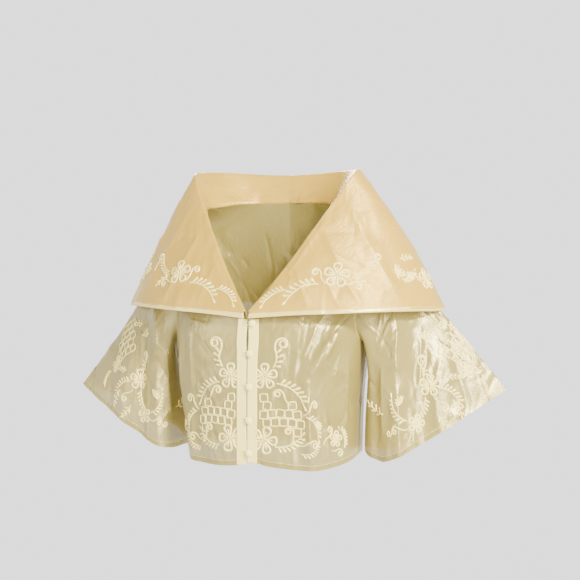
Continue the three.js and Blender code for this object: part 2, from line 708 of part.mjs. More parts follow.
const organza = (color) =>
  new THREE.MeshStandardMaterial({ color, roughness: 0.45, metalness: 0 });
const MATERIALS = {
  sheer: organza("#e3d3a9"),
  collar: organza("#dcc596"),
  band: organza("#f2e8c4"),
  covered: organza("#f4ecce"),
};

const bolero = new THREE.Group();
function add(name, geometry, material, position = vec(0, 0, 0)) {
  const mesh = new THREE.Mesh(geometry, material);
  mesh.name = name;
  mesh.position.copy(position);
  bolero.add(mesh);
}

const frontRight = frontGrid("front_right", -1);
const frontLeft = frontGrid("front_left", 1);
const back = backGrid();
add("front_right", wall(frontRight, CLOTH, { facing: panelNormals(frontRight) }), MATERIALS.sheer);
add("front_left", wall(frontLeft, CLOTH, { facing: panelNormals(frontLeft) }), MATERIALS.sheer);
add("back", wall(back, CLOTH, { facing: panelNormals(back) }), MATERIALS.sheer);
SLEEVES.forEach((sleeve) => {
  const rings = sleeveGrid(sleeve, sleeve.side < 0 ? frontRight : frontLeft, back);
  add(sleeve.name, wall(rings, CLOTH, { ring: true }), MATERIALS.sheer);
});
add("collar", wall(collarGrid(frontLeft, back), CLOTH), MATERIALS.collar);
add("band_right", wall(bandGrid("front_right", -1), BAND), MATERIALS.band);
add("band_left", wall(bandGrid("front_left", 1), BAND), MATERIALS.band);
BUTTONS.forEach((place, k) => {
  const made = button(place);
  add("button_" + (k + 1), made.geometry, MATERIALS.covered, made.position);
  const held = loop(place);
  add("loop_" + (k + 1), held.geometry, MATERIALS.covered, held.position);
});

export default bolero;
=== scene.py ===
"""The look of the organza bolero: sheer cloth with crisp creases, a stiff double collar, turned hems,
satin-stitch flowers, spirals, sprays and nets, folded front bands, covered buttons and loops.

Sizes are in millimetres until a mesh is made. +Z is up, the front looks along -Y and +X is the
wearer's left, as in the solids. The cloth's form is worked out from the same named sizes as theirs.
"""

import math

import bpy
import numpy as np
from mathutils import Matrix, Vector
from mathutils.kdtree import KDTree


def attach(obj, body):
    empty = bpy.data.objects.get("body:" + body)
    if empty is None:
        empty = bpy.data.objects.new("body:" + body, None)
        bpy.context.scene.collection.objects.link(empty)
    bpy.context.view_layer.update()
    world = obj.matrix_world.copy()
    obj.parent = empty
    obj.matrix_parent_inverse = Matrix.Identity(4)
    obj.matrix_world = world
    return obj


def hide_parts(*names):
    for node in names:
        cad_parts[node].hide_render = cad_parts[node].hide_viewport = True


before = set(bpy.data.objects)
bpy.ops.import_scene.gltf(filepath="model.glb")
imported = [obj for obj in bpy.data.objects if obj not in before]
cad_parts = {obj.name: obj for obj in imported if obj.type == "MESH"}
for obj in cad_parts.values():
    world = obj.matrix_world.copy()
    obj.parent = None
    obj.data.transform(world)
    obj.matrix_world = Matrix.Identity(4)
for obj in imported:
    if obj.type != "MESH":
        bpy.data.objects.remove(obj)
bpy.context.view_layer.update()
rng = np.random.default_rng(7)


def table(columns, *rows):
    """A short table as one array for each named column."""
    return {name: np.array(values, float) for name, values in zip(columns.split(), zip(*rows))}


# Form, as in the solids
SEAM = 0.3
NECK_POINT_X, NECK_POINT_Z = 120, 2
SHOULDER_POINT_X, SHOULDER_POINT_Z = 190, -28
SHOULDER_SLOPE = (NECK_POINT_Z - SHOULDER_POINT_Z) / (SHOULDER_POINT_X - NECK_POINT_X)
NECK_RISE = {"front": SHOULDER_SLOPE, "back": 0.7}
FRONT_POINT_Z = -188
UNDERARM_Z = -236
BACK_YOKE_Z = -200
HEM_BACK_Z = -438
ROUNDNESS = 2.4
CENTRE_GAP = 0.8
GAPE_Z, GAPE_MORE, GAPE_REACH = -224, 1.4, 20
BODY_SHARE = 0.4  # of a panel's rows, from the hem to the underarm
BODY_ROWS, FRONT_COLUMNS, BACK_COLUMNS = 170, 110, 230
UNDERARM_ROW = int(BODY_SHARE * BODY_ROWS)
SLEEVE_AROUND, SLEEVE_ALONG = 260, 130
COLLAR_FRONT, COLLAR_BEHIND = 150, 90  # sections of half a collar
STAND_STEPS, ROLL_STEPS, FALL_STEPS = 10, 9, 60
COLLAR_FALL_FROM = STAND_STEPS + ROLL_STEPS  # the first column of the collar's points on its fall

WIDTHS = table(
    "z right left",
    (-450, 145, 164),
    (-330, 160, 168),
    (-236, 174, 178),
    (-150, 186, 186),
    (-28, 193, 193),
    (60, 193, 193),
)
DEPTHS = table(
    "root front back",
    (0, 0, 0),
    (3, 27, 46),
    (5.5, 40, 76),
    (7.75, 51, 88),
    (10.5, 71, 98),
    (13, 94, 104),
    (14.8, 113, 107),
    (16.2, 121, 107),
    (18, 125, 105),
    (22.4, 127, 102),
)
ARMHOLE = table(
    "up z angle",
    (0, UNDERARM_Z, 0),
    (0.1, -229, 12),
    (0.22, -207, 21),
    (0.45, -155, 25),
    (0.7, -96, 25),
    (0.9, -47, 18),
    (1, SHOULDER_POINT_Z, 10.94),
)
FRONT_NECK = table(
    "up x z",
    (0, 2.5, FRONT_POINT_Z),
    (0.25, 34, -143),
    (0.5, 67, -94),
    (0.75, 98, -46),
    (0.9, 113, -14),
    (1, NECK_POINT_X, NECK_POINT_Z),
)
BACK_NECK = table(
    "along x z",
    (0, 0, 12),
    (0.35, 44, 12),
    (0.65, 82, 11),
    (0.85, 106, 6),
    (1, NECK_POINT_X, NECK_POINT_Z),
)
HEMS = table(
    "across right left",
    (0, -438, -433),
    (0.12, -443, -440),
    (0.45, -445, -446),
    (0.75, -442, -440),
    (1, -433, -430),
)
COLLAR = table(
    "at rollX rollY rollZ edgeX edgeY edgeZ",
    (0, 3, -127, -176, 4, -132, -188),
    (0.12, 34, -103, -134, 80, -122, -182),
    (0.24, 66, -78, -86, 150, -106, -179),
    (0.36, 96.5, -53, -36, 206, -80, -177),
    (0.48, 126, -25, 15, 257, -36, -177),
    (0.58, 152, 4, 62, 296, 22, -179),
    (0.66, 151, 40, 69, 302, 68, -179),
    (0.75, 134, 70, 71, 276, 115, -178),
    (0.84, 98, 92, 70, 206, 143, -178),
    (0.92, 50, 103, 67, 108, 157, -179),
    (1, 0, 106, 65, 0, 160, -180),
)
COLLAR_SHOULDER = 0.58
ROLL_RADIUS = 3
FALL_BOW = {"right": 4, "left": 9}
FRONTS = {"front_right": -1, "front_left": 1}  # each with its side
SLEEVES = {
    "sleeve_right": {
        "side": -1,
        "tip": (413, 44, -338),
        "under": (172, 16, -420),
        "reach": (0.65, 0, -0.75),
        "work": (-38, -10),
    },
    "sleeve_left": {
        "side": 1,
        "tip": (413, 44, -314),
        "under": (174, 6, -418),
        "reach": (0.6, 0, -0.76),
        "work": (0, 0),
    },
}
CUFF_DEPTH = 86
CUFF_SAG = table(
    "across right left",
    (0, 0, 0),
    (0.25, 3, 15),
    (0.55, 12, 32),
    (0.8, 25, 37),
    (0.93, 24, 20),
    (1, 15, 4),
)
LEAVE_TOP_PULL, LEAVE_TOP_WAY = 120, (0.45, 0.3, -0.84)
LEAVE_UNDER_PULL, LEAVE_UNDER_WAY = 20, (0.86, 0, -0.5)
REACH_TIP_PULL = 130
REACH_UNDER_PULL, REACH_UNDER_WAY = 80, (0.03, 0, -1)

# Folds and creases, seen from the front or the back: from one end to the other, the width of the
# ridge to each side, its height (negative for a trough), and how crisp its top is, 0 to 1. The
# first rows of each panel are the large folds that the solids have too.
FOLDS = {
    "front_left": [
        (172, -172, 106, -290, 17, 9, 0), (106, -290, 114, -450, 19, 8, 0),
        (146, -262, 146, -450, 18, -6, 0), (60, -350, 64, -450, 20, 3, 0),
    ],
    "front_right": [
        (160, -190, 142, -300, 18, 4, 0), (142, -300, 128, -450, 20, 5, 0),
        (96, -250, 90, -450, 20, -4, 0),
    ],
    "back": [
        (96, -210, 106, -450, 22, 5, 0), (-84, -190, -100, -450, 22, 5, 0),
        (34, -260, 30, -450, 24, -5, 0), (-30, -280, -38, -450, 22, 3, 0),
    ],
    "sleeve_left_front": [
        (226, -150, 236, -262, 16, 8, 0), (236, -262, 246, -450, 18, 9, 0),
        (200, -240, 206, -450, 14, -5, 0), (270, -200, 288, -430, 18, -5, 0),
        (300, -230, 334, -410, 20, 3, 0),
    ],
    "sleeve_left_back": [
        (222, -150, 242, -440, 18, 7, 0), (262, -210, 290, -430, 20, -5, 0),
        (300, -230, 336, -400, 20, 4, 0),
    ],
    "sleeve_right_front": [
        (220, -150, 206, -262, 15, 8, 0), (206, -262, 210, -450, 17, 9, 0),
        (242, -190, 250, -440, 17, -6, 0), (274, -200, 284, -430, 18, 4, 0),
    ],
    "sleeve_right_back": [
        (224, -150, 236, -440, 18, 7, 0), (258, -210, 280, -430, 20, -5, 0),
        (300, -240, 330, -410, 20, 4, 0),
    ],
}
CREASES = {
    "front_left": [
        (158, -192, 104, -292, 6, 2.2, 0.4), (102, -282, 112, -446, 6, 2.2, 0.4),
        (118, -196, 92, -262, 3.5, 2.2, 1), (150, -205, 128, -262, 3, 2, 1),
        (104, -292, 110, -440, 3, 2, 1), (88, -230, 74, -340, 4, 1.6, 1),
        (128, -330, 134, -446, 3.5, 2, 1), (40, -214, 92, -204, 3, 1.4, 1),
        (24, -260, 48, -300, 3, 1.1, 1), (160, -250, 154, -390, 4, 2, 1),
        (74, -380, 84, -446, 4, 1.6, 1), (22, -330, 18, -400, 3, 1, 1),
        (58, -246, 44, -320, 3, 1.2, 1),
    ],
    "front_right": [
        (60, -206, 122, -196, 3, 1.5, 1), (120, -214, 112, -330, 4, 1.8, 1),
        (148, -230, 136, -380, 4, 2.2, 1), (84, -300, 88, -442, 4, 1.5, 1),
        (50, -228, 66, -330, 3, 1.1, 1), (28, -250, 34, -310, 3, 1, 1),
        (118, -350, 112, -444, 4, 1.6, 1), (30, -360, 44, -436, 4, 1.1, 1),
    ],
    "back": [
        (-20, -190, -34, -420, 4, 1.6, 1), (58, -190, 66, -440, 4, 1.8, 1),
        (-120, -200, -126, -430, 4, 2, 1), (126, -210, 132, -430, 4, 2, 1),
        (-64, -240, -60, -436, 4, 1.4, 1), (6, -300, 12, -436, 4, 1.2, 1),
        (96, -120, 60, -190, 4, 1.2, 1), (-100, -120, -70, -200, 4, 1.2, 1),
    ],
    "sleeve_left_front": [
        (228, -188, 238, -300, 6, 2.2, 0.4), (238, -290, 250, -440, 6, 2.2, 0.4),
        (236, -190, 240, -300, 3, 2.4, 1), (243, -300, 250, -440, 3, 2.2, 1),
        (272, -186, 276, -330, 3, 2, 1), (214, -250, 218, -400, 3.5, 1.8, 1),
        (300, -205, 330, -300, 3, 1.5, 1), (318, -230, 372, -318, 3, 1.3, 1),
        (262, -330, 274, -430, 4, 1.8, 1), (296, -300, 316, -392, 4, 1.4, 1),
        (224, -190, 208, -250, 3, 1.6, 1),
    ],
    "sleeve_left_back": [
        (236, -190, 252, -430, 4, 2, 1), (276, -200, 300, -400, 4, 1.6, 1),
        (318, -230, 360, -350, 4, 1.3, 1), (212, -260, 216, -400, 4, 1.6, 1),
    ],
    "sleeve_right_front": [
        (214, -186, 206, -262, 3, 2.2, 1), (206, -262, 208, -440, 3, 2.2, 1),
        (236, -190, 232, -320, 3, 1.8, 1), (258, -200, 262, -420, 3.5, 1.8, 1),
        (226, -300, 230, -440, 3.5, 1.6, 1), (284, -214, 300, -380, 4, 1.4, 1),
        (316, -240, 350, -360, 4, 1.2, 1), (190, -250, 186, -400, 3.5, 1.5, 1),
    ],
    "sleeve_right_back": [
        (230, -190, 240, -430, 4, 2, 1), (270, -200, 288, -400, 4, 1.5, 1),
        (312, -240, 350, -360, 4, 1.3, 1), (200, -260, 204, -410, 4, 1.6, 1),
    ],
    "collar_front": [
        (112, -36, 190, -172, 5, 1.6, 0.7), (70, -96, 108, -176, 5, 1.2, 0.7),
        (140, 18, 252, -172, 6, 1.6, 0.6), (96, -60, 60, -120, 3, 0.9, 1),
        (124, -8, 74, -92, 3, 0.9, 1), (-112, -30, -178, -172, 5, 1.5, 0.7),
        (-74, -90, -100, -176, 5, 1.2, 0.7), (-142, 20, -236, -170, 6, 1.6, 0.6),
        (-92, -68, -58, -124, 3, 0.9, 1), (-120, -14, -84, -78, 3, 0.9, 1),
    ],
    "collar_back": [
        (40, 50, 70, -176, 8, 1.6, 0.5), (-50, 50, -86, -176, 8, 1.6, 0.5),
        (100, 50, 176, -172, 8, 1.5, 0.5), (-104, 50, -180, -172, 8, 1.5, 0.5),
        (-4, 40, -8, -176, 7, 1.2, 0.5), (92, 58, 96, 20, 3, 0.7, 1),
        (106, 62, 102, 16, 3, 1, 1), (117, 64, 113, 14, 3, 1.2, 1),
        (126, 60, 123, 8, 3, 1, 1),
    ],
}

# Sewing and small parts
BAND_WIDTH, BAND_THICK, BAND_TOP_Z = 18, 0.7, FRONT_POINT_Z - 2
CLOTH_WALL = 1.2  # thickness of the solids' cloth, which the bands and buttons stand off
COLLAR_THICK = 0.9
HEM_WIDTH, HEM_REACH = 9, 40  # turned hem of the body and the sleeves, and the points to cut it from
SEAM_WIDTH, SEAM_REACH = 5, 30
TURNED_IN = 0.4  # from a layer of cloth to the one turned under it
ON_DOUBLE, ON_SHEER, STITCHES_ON_SHEER = 0.05, 0.08, 0.1  # from the cloth's face to the thread on it
CREASE_WIDTH, CREASE_HEIGHT = 1.6, 1.8
THREAD_HEIGHT = 1.2
COLLAR_HEM_WIDTH = 8
STITCH_LENGTH, STITCH_PITCH, STITCH_WIDTH = 2.3, 3.5, 0.7

# Floor and camera, in metres and degrees, with its sensor in millimetres and its lens in pixels
FLOOR_Z, FLOOR_RADIUS, FLOOR_SIDES = -1.35, 2.0, 96
CAMERA_TURN, CAMERA_DROP, CAMERA_DISTANCE, CAMERA_Z = 20, 2.6, 2.0, -0.055
AIM_ASIDE = 0.032
SENSOR, FOCAL_PIXELS, PICTURE_PIXELS = 36, 1111, 580

# Colours, linear
GOLD = (0.33, 0.258, 0.06)
GOLD_DOUBLE = (0.53, 0.325, 0.035)
HEM_GOLD = (0.78, 0.60, 0.18)
CREAM = (1.0, 0.87, 0.3)
BAND_GOLD = (0.9, 0.73, 0.2)
THREAD = (0.98, 0.78, 0.24)


def mix(a, b, t):
    return a + (b - a) * t


def smooth(t, low, high):
    t = np.clip((t - low) / (high - low), 0, 1)
    return t * t * (3 - 2 * t)


def unit(v):
    return v / np.maximum(np.linalg.norm(v, axis=-1, keepdims=True), 1e-9)


def read(rows, by, column, value):
    """One column of a table at a value of another, along a smooth curve through its rows."""
    xs, ys = rows[by], rows[column]
    last = len(xs) - 1
    v = np.clip(value, xs[0], xs[-1])
    i = np.searchsorted(xs[1:-1], v, side="left")
    after = np.minimum(np.arange(last + 1) + 1, last)
    before = np.maximum(np.arange(last + 1) - 1, 0)
    slope = (ys[after] - ys[before]) / (xs[after] - xs[before])
    span = xs[i + 1] - xs[i]
    t = (v - xs[i]) / span
    bend = t * t * (3 - 2 * t)
    ends = slope[i] * t * (1 - t) ** 2 - slope[i + 1] * t * t * (1 - t)
    return ys[i] * (1 - bend) + ys[i + 1] * bend + span * ends


def fold_height(rows, x, z):
    """How far a list of folds raises the cloth at places seen from the front or the back."""
    total = np.zeros(np.broadcast(x, z).shape)
    for x0, z0, x1, z1, width, height, crisp in rows:
        dx, dz = x1 - x0, z1 - z0
        t = ((x - x0) * dx + (z - z0) * dz) / (dx * dx + dz * dz)
        near = np.clip(t, 0, 1)
        off = np.hypot(x - x0 - near * dx, z - z0 - near * dz) / width
        if crisp:
            off = off / CREASE_WIDTH
            height = height * CREASE_HEIGHT
            fade = smooth(t, -0.02, 0.3) * (1 - smooth(t, 0.75, 1.02))
            top = mix(np.exp(-off * off), np.exp(-1.4 * off), crisp)
        else:
            fade = smooth(t, -0.05, 0.3)
            top = np.exp(-off * off)
        total = total + height * fade * top
    return total


def run_along(line):
    """The distance of each point of a line from its start."""
    return np.concatenate([[0], np.cumsum(np.linalg.norm(np.diff(line, axis=0), axis=1))])


def x_and_z(rows, by, value):
    return read(rows, by, "x", value), read(rows, by, "z", value)


def half_width(z, side):
    return np.where(side < 0, read(WIDTHS, "z", "right", z), read(WIDTHS, "z", "left", z))


def torso_y(x, z, face, side):
    """How far the body's cloth stands in front of or behind the side, x from the middle."""
    across = np.minimum(np.abs(x) / half_width(z, side), 1)
    inward = NECK_POINT_X - np.abs(x)
    top = NECK_POINT_Z + inward * np.where(inward > 0, NECK_RISE[face], SHOULDER_SLOPE)
    depth = read(DEPTHS, "root", face, np.sqrt(np.maximum(top - z, 0)))
    y = depth * (1 - across**ROUNDNESS) ** (1 / ROUNDNESS)
    return -y if face == "front" else y


def at_angle(angle, z, side):
    return half_width(z, side) * np.cos(np.radians(angle)) ** (2 / ROUNDNESS)


def angle_of(x, z, side):
    return np.degrees(np.arccos(np.minimum(1, (x / half_width(z, side)) ** (ROUNDNESS / 2))))


def armhole(up, side):
    """x and z of the armhole's edge."""
    z = read(ARMHOLE, "up", "z", up)
    return at_angle(read(ARMHOLE, "up", "angle", up), z, side), z


def yoke_level(middle_z, u):
    return mix(UNDERARM_Z, middle_z, (1 - u) ** 1.6)


def centre_edge(z):
    return CENTRE_GAP + GAPE_MORE * np.exp(-(((z - GAPE_Z) / GAPE_REACH) ** 2))


def body_places(start, columns):
    """Places across a panel of the body, its share from hem to underarm and that from there up."""
    across = np.linspace(start, 1, columns)[None, :] * np.ones((BODY_ROWS, 1))
    v = np.linspace(0, 1, BODY_ROWS)[:, None] * np.ones((1, columns))
    return across, np.minimum(v / BODY_SHARE, 1), np.maximum(v - BODY_SHARE, 0) / (1 - BODY_SHARE)


def front_grid(name, side):
    """One front as points from the middle out and from the hem up."""
    hand = "right" if side < 0 else "left"
    u, low, up = body_places(0, FRONT_COLUMNS)
    z_low = mix(read(HEMS, "across", hand, u), yoke_level(FRONT_POINT_Z, u), low)
    x_low = at_angle(mix(angle_of(centre_edge(z_low), z_low, side), 0, u), z_low, side)
    inner_x, inner_z = x_and_z(FRONT_NECK, "up", up)
    outer_x, outer_z = armhole(up, side)
    z_high = mix(inner_z, outer_z, u)
    turn = mix(angle_of(inner_x, inner_z, side), angle_of(outer_x, outer_z, side), u)
    x_high = mix(at_angle(turn, z_high, side), mix(inner_x, outer_x, u), up)
    x, z = np.where(up > 0, x_high, x_low), np.where(up > 0, z_high, z_low)
    edge = np.minimum(1, (1 - u) * 6) * np.minimum(1, (1 - up) * 2)
    y = torso_y(x, z, "front", side) - fold_height(FOLDS[name], x, z) * edge - SEAM / 2
    return np.stack([x * side, y, z], -1)


def back_grid():
    """The back as points from the wearer's right to left and from the hem up."""
    across, low, up = body_places(-1, BACK_COLUMNS)
    u, side = np.abs(across), np.where(across < 0, -1, 1)
    side_hem = np.where(side < 0, HEMS["right"][-1], HEMS["left"][-1])
    level = yoke_level(BACK_YOKE_Z, u)
    z_low = mix(mix(HEM_BACK_Z, side_hem, u * u), level, low)
    x_low = at_angle(mix(90, 0, u), z_low, side)
    arm_x, arm_z = armhole(up, side)
    on_neck, past_neck = np.minimum(u * 12 / 7, 1), np.maximum(u * 12 - 7, 0) / 5
    neck_x, neck_z = x_and_z(BACK_NECK, "along", on_neck)
    top_x = mix(neck_x, SHOULDER_POINT_X, past_neck)
    top_z = mix(neck_z, SHOULDER_POINT_Z, past_neck)
    arm_share = (arm_z - UNDERARM_Z) / (SHOULDER_POINT_Z - UNDERARM_Z)
    z_high = mix(level, top_z, mix(up, arm_share, u))
    fan = at_angle(mix(90, angle_of(arm_x, arm_z, side), u), z_high, side)
    x_high = np.where(u == 1, arm_x, mix(fan, top_x, up))
    x, z = np.where(up > 0, x_high, x_low), np.where(up > 0, z_high, z_low)
    edge = np.minimum(1, (1 - u) * 6) * np.minimum(1, (1 - up) * 2)
    y = torso_y(x, z, "back", side) + fold_height(FOLDS["back"], x * side, z) * edge + SEAM / 2
    return np.stack([x * side, y, z], -1)


def normals(grid, ring=False):
    """Unit normals of a grid of points."""
    if ring:
        right = np.roll(grid, -1, 1) - np.roll(grid, 1, 1)
    else:
        right = np.gradient(grid, axis=1)
    return unit(np.cross(right, np.gradient(grid, axis=0)))


def bezier(p0, p1, p2, p3, t):
    return (1 - t) ** 3 * p0 + 3 * (1 - t) ** 2 * t * p1 + 3 * (1 - t) * t * t * p2 + t**3 * p3


def sleeve_grid(name):
    """One sleeve as rings from the armhole to the cuff, from the pressed fold round by the front."""
    sizes = SLEEVES[name]
    side, hand = sizes["side"], "right" if sizes["side"] < 0 else "left"
    tip, under = np.array(sizes["tip"], float), np.array(sizes["under"], float)
    turn = 2 * np.arange(SLEEVE_AROUND) / SLEEVE_AROUND
    in_front = turn <= 1
    from_top = np.where(in_front, turn, 2 - turn)
    x, z = armhole(1 - from_top, side)
    y_front = torso_y(x, z, "front", side) - SEAM / 2
    y_back = torso_y(x, z, "back", side) + SEAM / 2
    start = np.stack([x, np.where(in_front, y_front, y_back), z], -1)
    angle = np.pi * turn
    topness = ((1 + np.cos(angle)) / 2)[:, None]
    leave = unit(mix(np.array(LEAVE_UNDER_WAY), np.array(LEAVE_TOP_WAY), topness))
    arrive = unit(mix(np.array(REACH_UNDER_WAY, float), np.array(sizes["reach"]), topness))
    cuff = (tip + under) / 2 + (tip - under) / 2 * np.cos(angle)[:, None]
    cuff[:, 1] -= CUFF_DEPTH * np.sin(angle) * np.abs(np.sin(angle / 2))
    cuff[:, 2] -= read(CUFF_SAG, "across", hand, 1 - topness[:, 0])
    near = start + leave * mix(LEAVE_UNDER_PULL, LEAVE_TOP_PULL, topness)
    far = cuff - arrive * mix(REACH_UNDER_PULL, REACH_TIP_PULL, topness)
    down = np.linspace(0, 1, SLEEVE_ALONG)[:, None, None]
    rings = bezier(start[None], near[None], far[None], cuff[None], down**1.15)
    out = normals(rings, ring=True)
    edge = np.minimum(1, np.abs(np.sin(angle)) * 3)[None, :]
    grown = smooth(down[..., 0], 0, 0.35)
    front = fold_height(FOLDS[name + "_front"], rings[..., 0], rings[..., 2])
    behind = fold_height(FOLDS[name + "_back"], rings[..., 0], rings[..., 2])
    away = np.where(in_front, -1, 1)[None, :] * np.sign(out[..., 1])
    rings = rings + out * (away * grown * edge * np.where(in_front, front, behind))[..., None]
    return rings * np.array([side, 1, 1])


def neck_seam(at):
    """A place on the neck seam of the wearer's left half."""
    if at <= COLLAR_SHOULDER:
        x, z = x_and_z(FRONT_NECK, "up", at / COLLAR_SHOULDER)
        return np.array([x, torso_y(x, z, "front", 1) - SEAM / 2, z])
    x, z = x_and_z(BACK_NECK, "along", (1 - at) / (1 - COLLAR_SHOULDER))
    return np.array([x, torso_y(x, z, "back", 1) + SEAM / 2, z])


def square_to(v, way):
    way = unit(way)
    return v - way * np.dot(v, way)


def collar_section(at, bow):
    """One section of the collar: up the stand, over the roll and down the fall."""

    def place(curve, where):
        return np.array([read(COLLAR, "at", curve + axis, where) for axis in "XYZ"])

    roll, edge, seam = place("roll", at), place("edge", at), neck_seam(at)
    along = place("roll", min(at + 0.01, 1)) - place("roll", max(at - 0.01, 0))
    down = unit(square_to(unit(seam - roll), along))
    over = unit(square_to(unit(edge - roll), along))
    apex = -unit(down + over)
    outward = unit(square_to(over, apex))
    half = math.acos(max(-1.0, min(1.0, float(np.dot(down, over))))) / 2
    centre = roll - apex * ROLL_RADIUS
    turns = np.linspace(half - math.pi / 2, math.pi / 2 - half, ROLL_STEPS)
    ahead, aside = apex * ROLL_RADIUS, outward * ROLL_RADIUS
    arc = [centre + ahead * math.cos(t) + aside * math.sin(t) for t in turns]
    points = [mix(seam, arc[0], k / STAND_STEPS) for k in range(STAND_STEPS)] + arc
    start = arc[-1]
    length = np.linalg.norm(edge - start)
    face = unit(square_to(outward, edge - start))
    for t in np.arange(1, FALL_STEPS + 1) / FALL_STEPS:
        lift = bow * min(1, length / 150) * 4 * t * (1 - t)
        points.append(mix(start, edge, t) + face * lift)
    return points


def collar_grid():
    """The collar as one row of points a section, from the wearer's right front to the left."""
    stations = list(np.linspace(0, COLLAR_SHOULDER, COLLAR_FRONT))
    stations += list(np.linspace(COLLAR_SHOULDER, 1, COLLAR_BEHIND + 1)[1:])
    middle = (FALL_BOW["right"] + FALL_BOW["left"]) / 2
    shares = smooth(np.array(stations), 0.66, 1)
    right, left = (
        np.array([collar_section(at, mix(FALL_BOW[hand], middle, t)) for at, t in zip(stations, shares)])
        for hand in ("right", "left")
    )
    left[-1, :, 0] = 0
    return np.concatenate([(right * np.array([-1, 1, 1]))[:-1], left[::-1]])


def scattered(box, count, seed, height, reach, widths, crisp):
    """Folds at seeded places in a box seen from one side. reach gives half of one, across and up."""
    near = np.random.default_rng(seed)
    rows = []
    for _ in range(count):
        x, z = near.uniform(box[0], box[1]), near.uniform(box[2], box[3])
        dx, dz = reach(near)
        size = near.uniform(0.5, 1) * height * near.choice([-1, 1])
        rows.append((x - dx, z - dz, x + dx, z + dz, near.uniform(*widths), size, crisp))
    return rows


def dents(box, count, seed, height=1.0):
    """Shallow soft dents and swells."""

    def reach(near):
        return near.uniform(-18, 18), near.uniform(-30, 30)

    return scattered(box, count, seed, height, reach, (7, 15), 0)


def small_creases(box, count, seed, height=0.9, lean=0.5):
    """Short crisp creases, mostly upright."""

    def reach(near):
        way, half = near.normal(0, lean), near.uniform(25, 85) / 2
        return half * math.sin(way), half * math.cos(way)

    return scattered(box, count, seed, height, reach, (1.6, 3.2), 1)


def wrinkles(face, box, creases, hollows):
    """All the creases of one face: those of its table, small ones and dents."""
    return CREASES[face] + small_creases(box, *creases) + dents(box, *hollows)


def creased(grid, rows, ring=False, where=None):
    """The grid moved out along its normals by creases."""
    out = normals(grid, ring)
    face = -np.sign(out[..., 1]) if where != "back" else np.sign(out[..., 1])
    height = fold_height(rows, grid[..., 0], grid[..., 2])
    if where is not None:
        share = smooth(grid[..., 1], -12, 12)
        height = height * (share if where == "back" else 1 - share)
    return grid + out * (height * face)[..., None]


def link(name, data):
    made = bpy.data.objects.new(name, data)
    bpy.context.scene.collection.objects.link(made)
    return made


def make_mesh(name, verts, faces, material, uvs, slots=None):
    """A smooth piece in millimetres that rides on the part, with its flat cloth coordinates."""
    mesh = bpy.data.meshes.new(name)
    mesh.from_pydata((np.asarray(verts).reshape(-1, 3) / 1000).tolist(), [], faces)
    for each in material if isinstance(material, (list, tuple)) else [material]:
        mesh.materials.append(each)
    layer = mesh.uv_layers.new(name="cloth")
    loops = np.zeros(len(mesh.loops), np.int64)
    mesh.loops.foreach_get("vertex_index", loops)
    layer.data.foreach_set("uv", np.asarray(uvs, np.float32).reshape(-1, 2)[loops].ravel())
    if slots is not None:
        mesh.polygons.foreach_set("material_index", slots)
    mesh.polygons.foreach_set("use_smooth", [True] * len(mesh.polygons))
    mesh.update()
    made = link(name, mesh)
    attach(made, "root")
    return made


def grid_faces(rows, columns, ring=False, start=0):
    """Quads of a grid of points, as lists of indices."""
    j, i = np.meshgrid(np.arange(rows - 1), np.arange(columns if ring else columns - 1), indexing="ij")
    after = (i + 1) % columns
    quads = np.stack(
        [j * columns + i, j * columns + after, (j + 1) * columns + after, (j + 1) * columns + i], -1
    )
    return (quads.reshape(-1, 4) + start).tolist()


def lengths(grid):
    """Distances along the rows and up the columns of a grid, as flat coordinates."""
    across = np.linalg.norm(np.diff(grid, axis=1), axis=2)
    up = np.linalg.norm(np.diff(grid, axis=0), axis=2)
    s = np.concatenate([np.zeros((len(grid), 1)), np.cumsum(across, 1)], 1)
    t = np.concatenate([np.zeros((1, grid.shape[1])), np.cumsum(up, 0)], 0)
    return np.stack([s, t], -1)


def skin(name, grid, material, ring=False):
    """One thin layer of cloth on a grid of points."""
    rows, columns = grid.shape[:2]
    faces = grid_faces(rows, columns, ring)
    return make_mesh(name, grid, faces, material, lengths(grid) / 1000)


def shell(name, grid, thick, material, slots=None):
    """A closed layer of cloth with the grid's points on its middle."""
    rows, columns = grid.shape[:2]
    out = normals(grid)
    verts = np.concatenate([(grid + out * way).reshape(-1, 3) for way in (thick / 2, -thick / 2)])
    count = rows * columns
    top = grid_faces(rows, columns)
    faces = top + [[count + k for k in reversed(quad)] for quad in top]
    rim = []
    for i in range(columns - 1):
        rim.append([i + 1, i, count + i, count + i + 1])
        a = (rows - 1) * columns + i
        rim.append([a, a + 1, count + a + 1, count + a])
    for j in range(rows - 1):
        a, b = j * columns, (j + 1) * columns
        rim.append([a, b, count + b, count + a])
        a, b = a + columns - 1, b + columns - 1
        rim.append([b, a, count + a, count + b])
    marks = None if slots is None else list(slots.ravel()) * 2 + [int(slots.max())] * len(rim)
    uv = lengths(grid).reshape(-1, 2) / 1000
    return make_mesh(name, verts, faces + rim, material, np.concatenate([uv, uv]), marks)


# Materials


def add_node(nodes, kind, values=None):
    """A shader node of one kind with some of its inputs set."""
    made = nodes.new("ShaderNode" + kind)
    set_inputs(made, values or {})
    return made


def set_inputs(node, values):
    for name, value in values.items():
        node.inputs[name].default_value = value


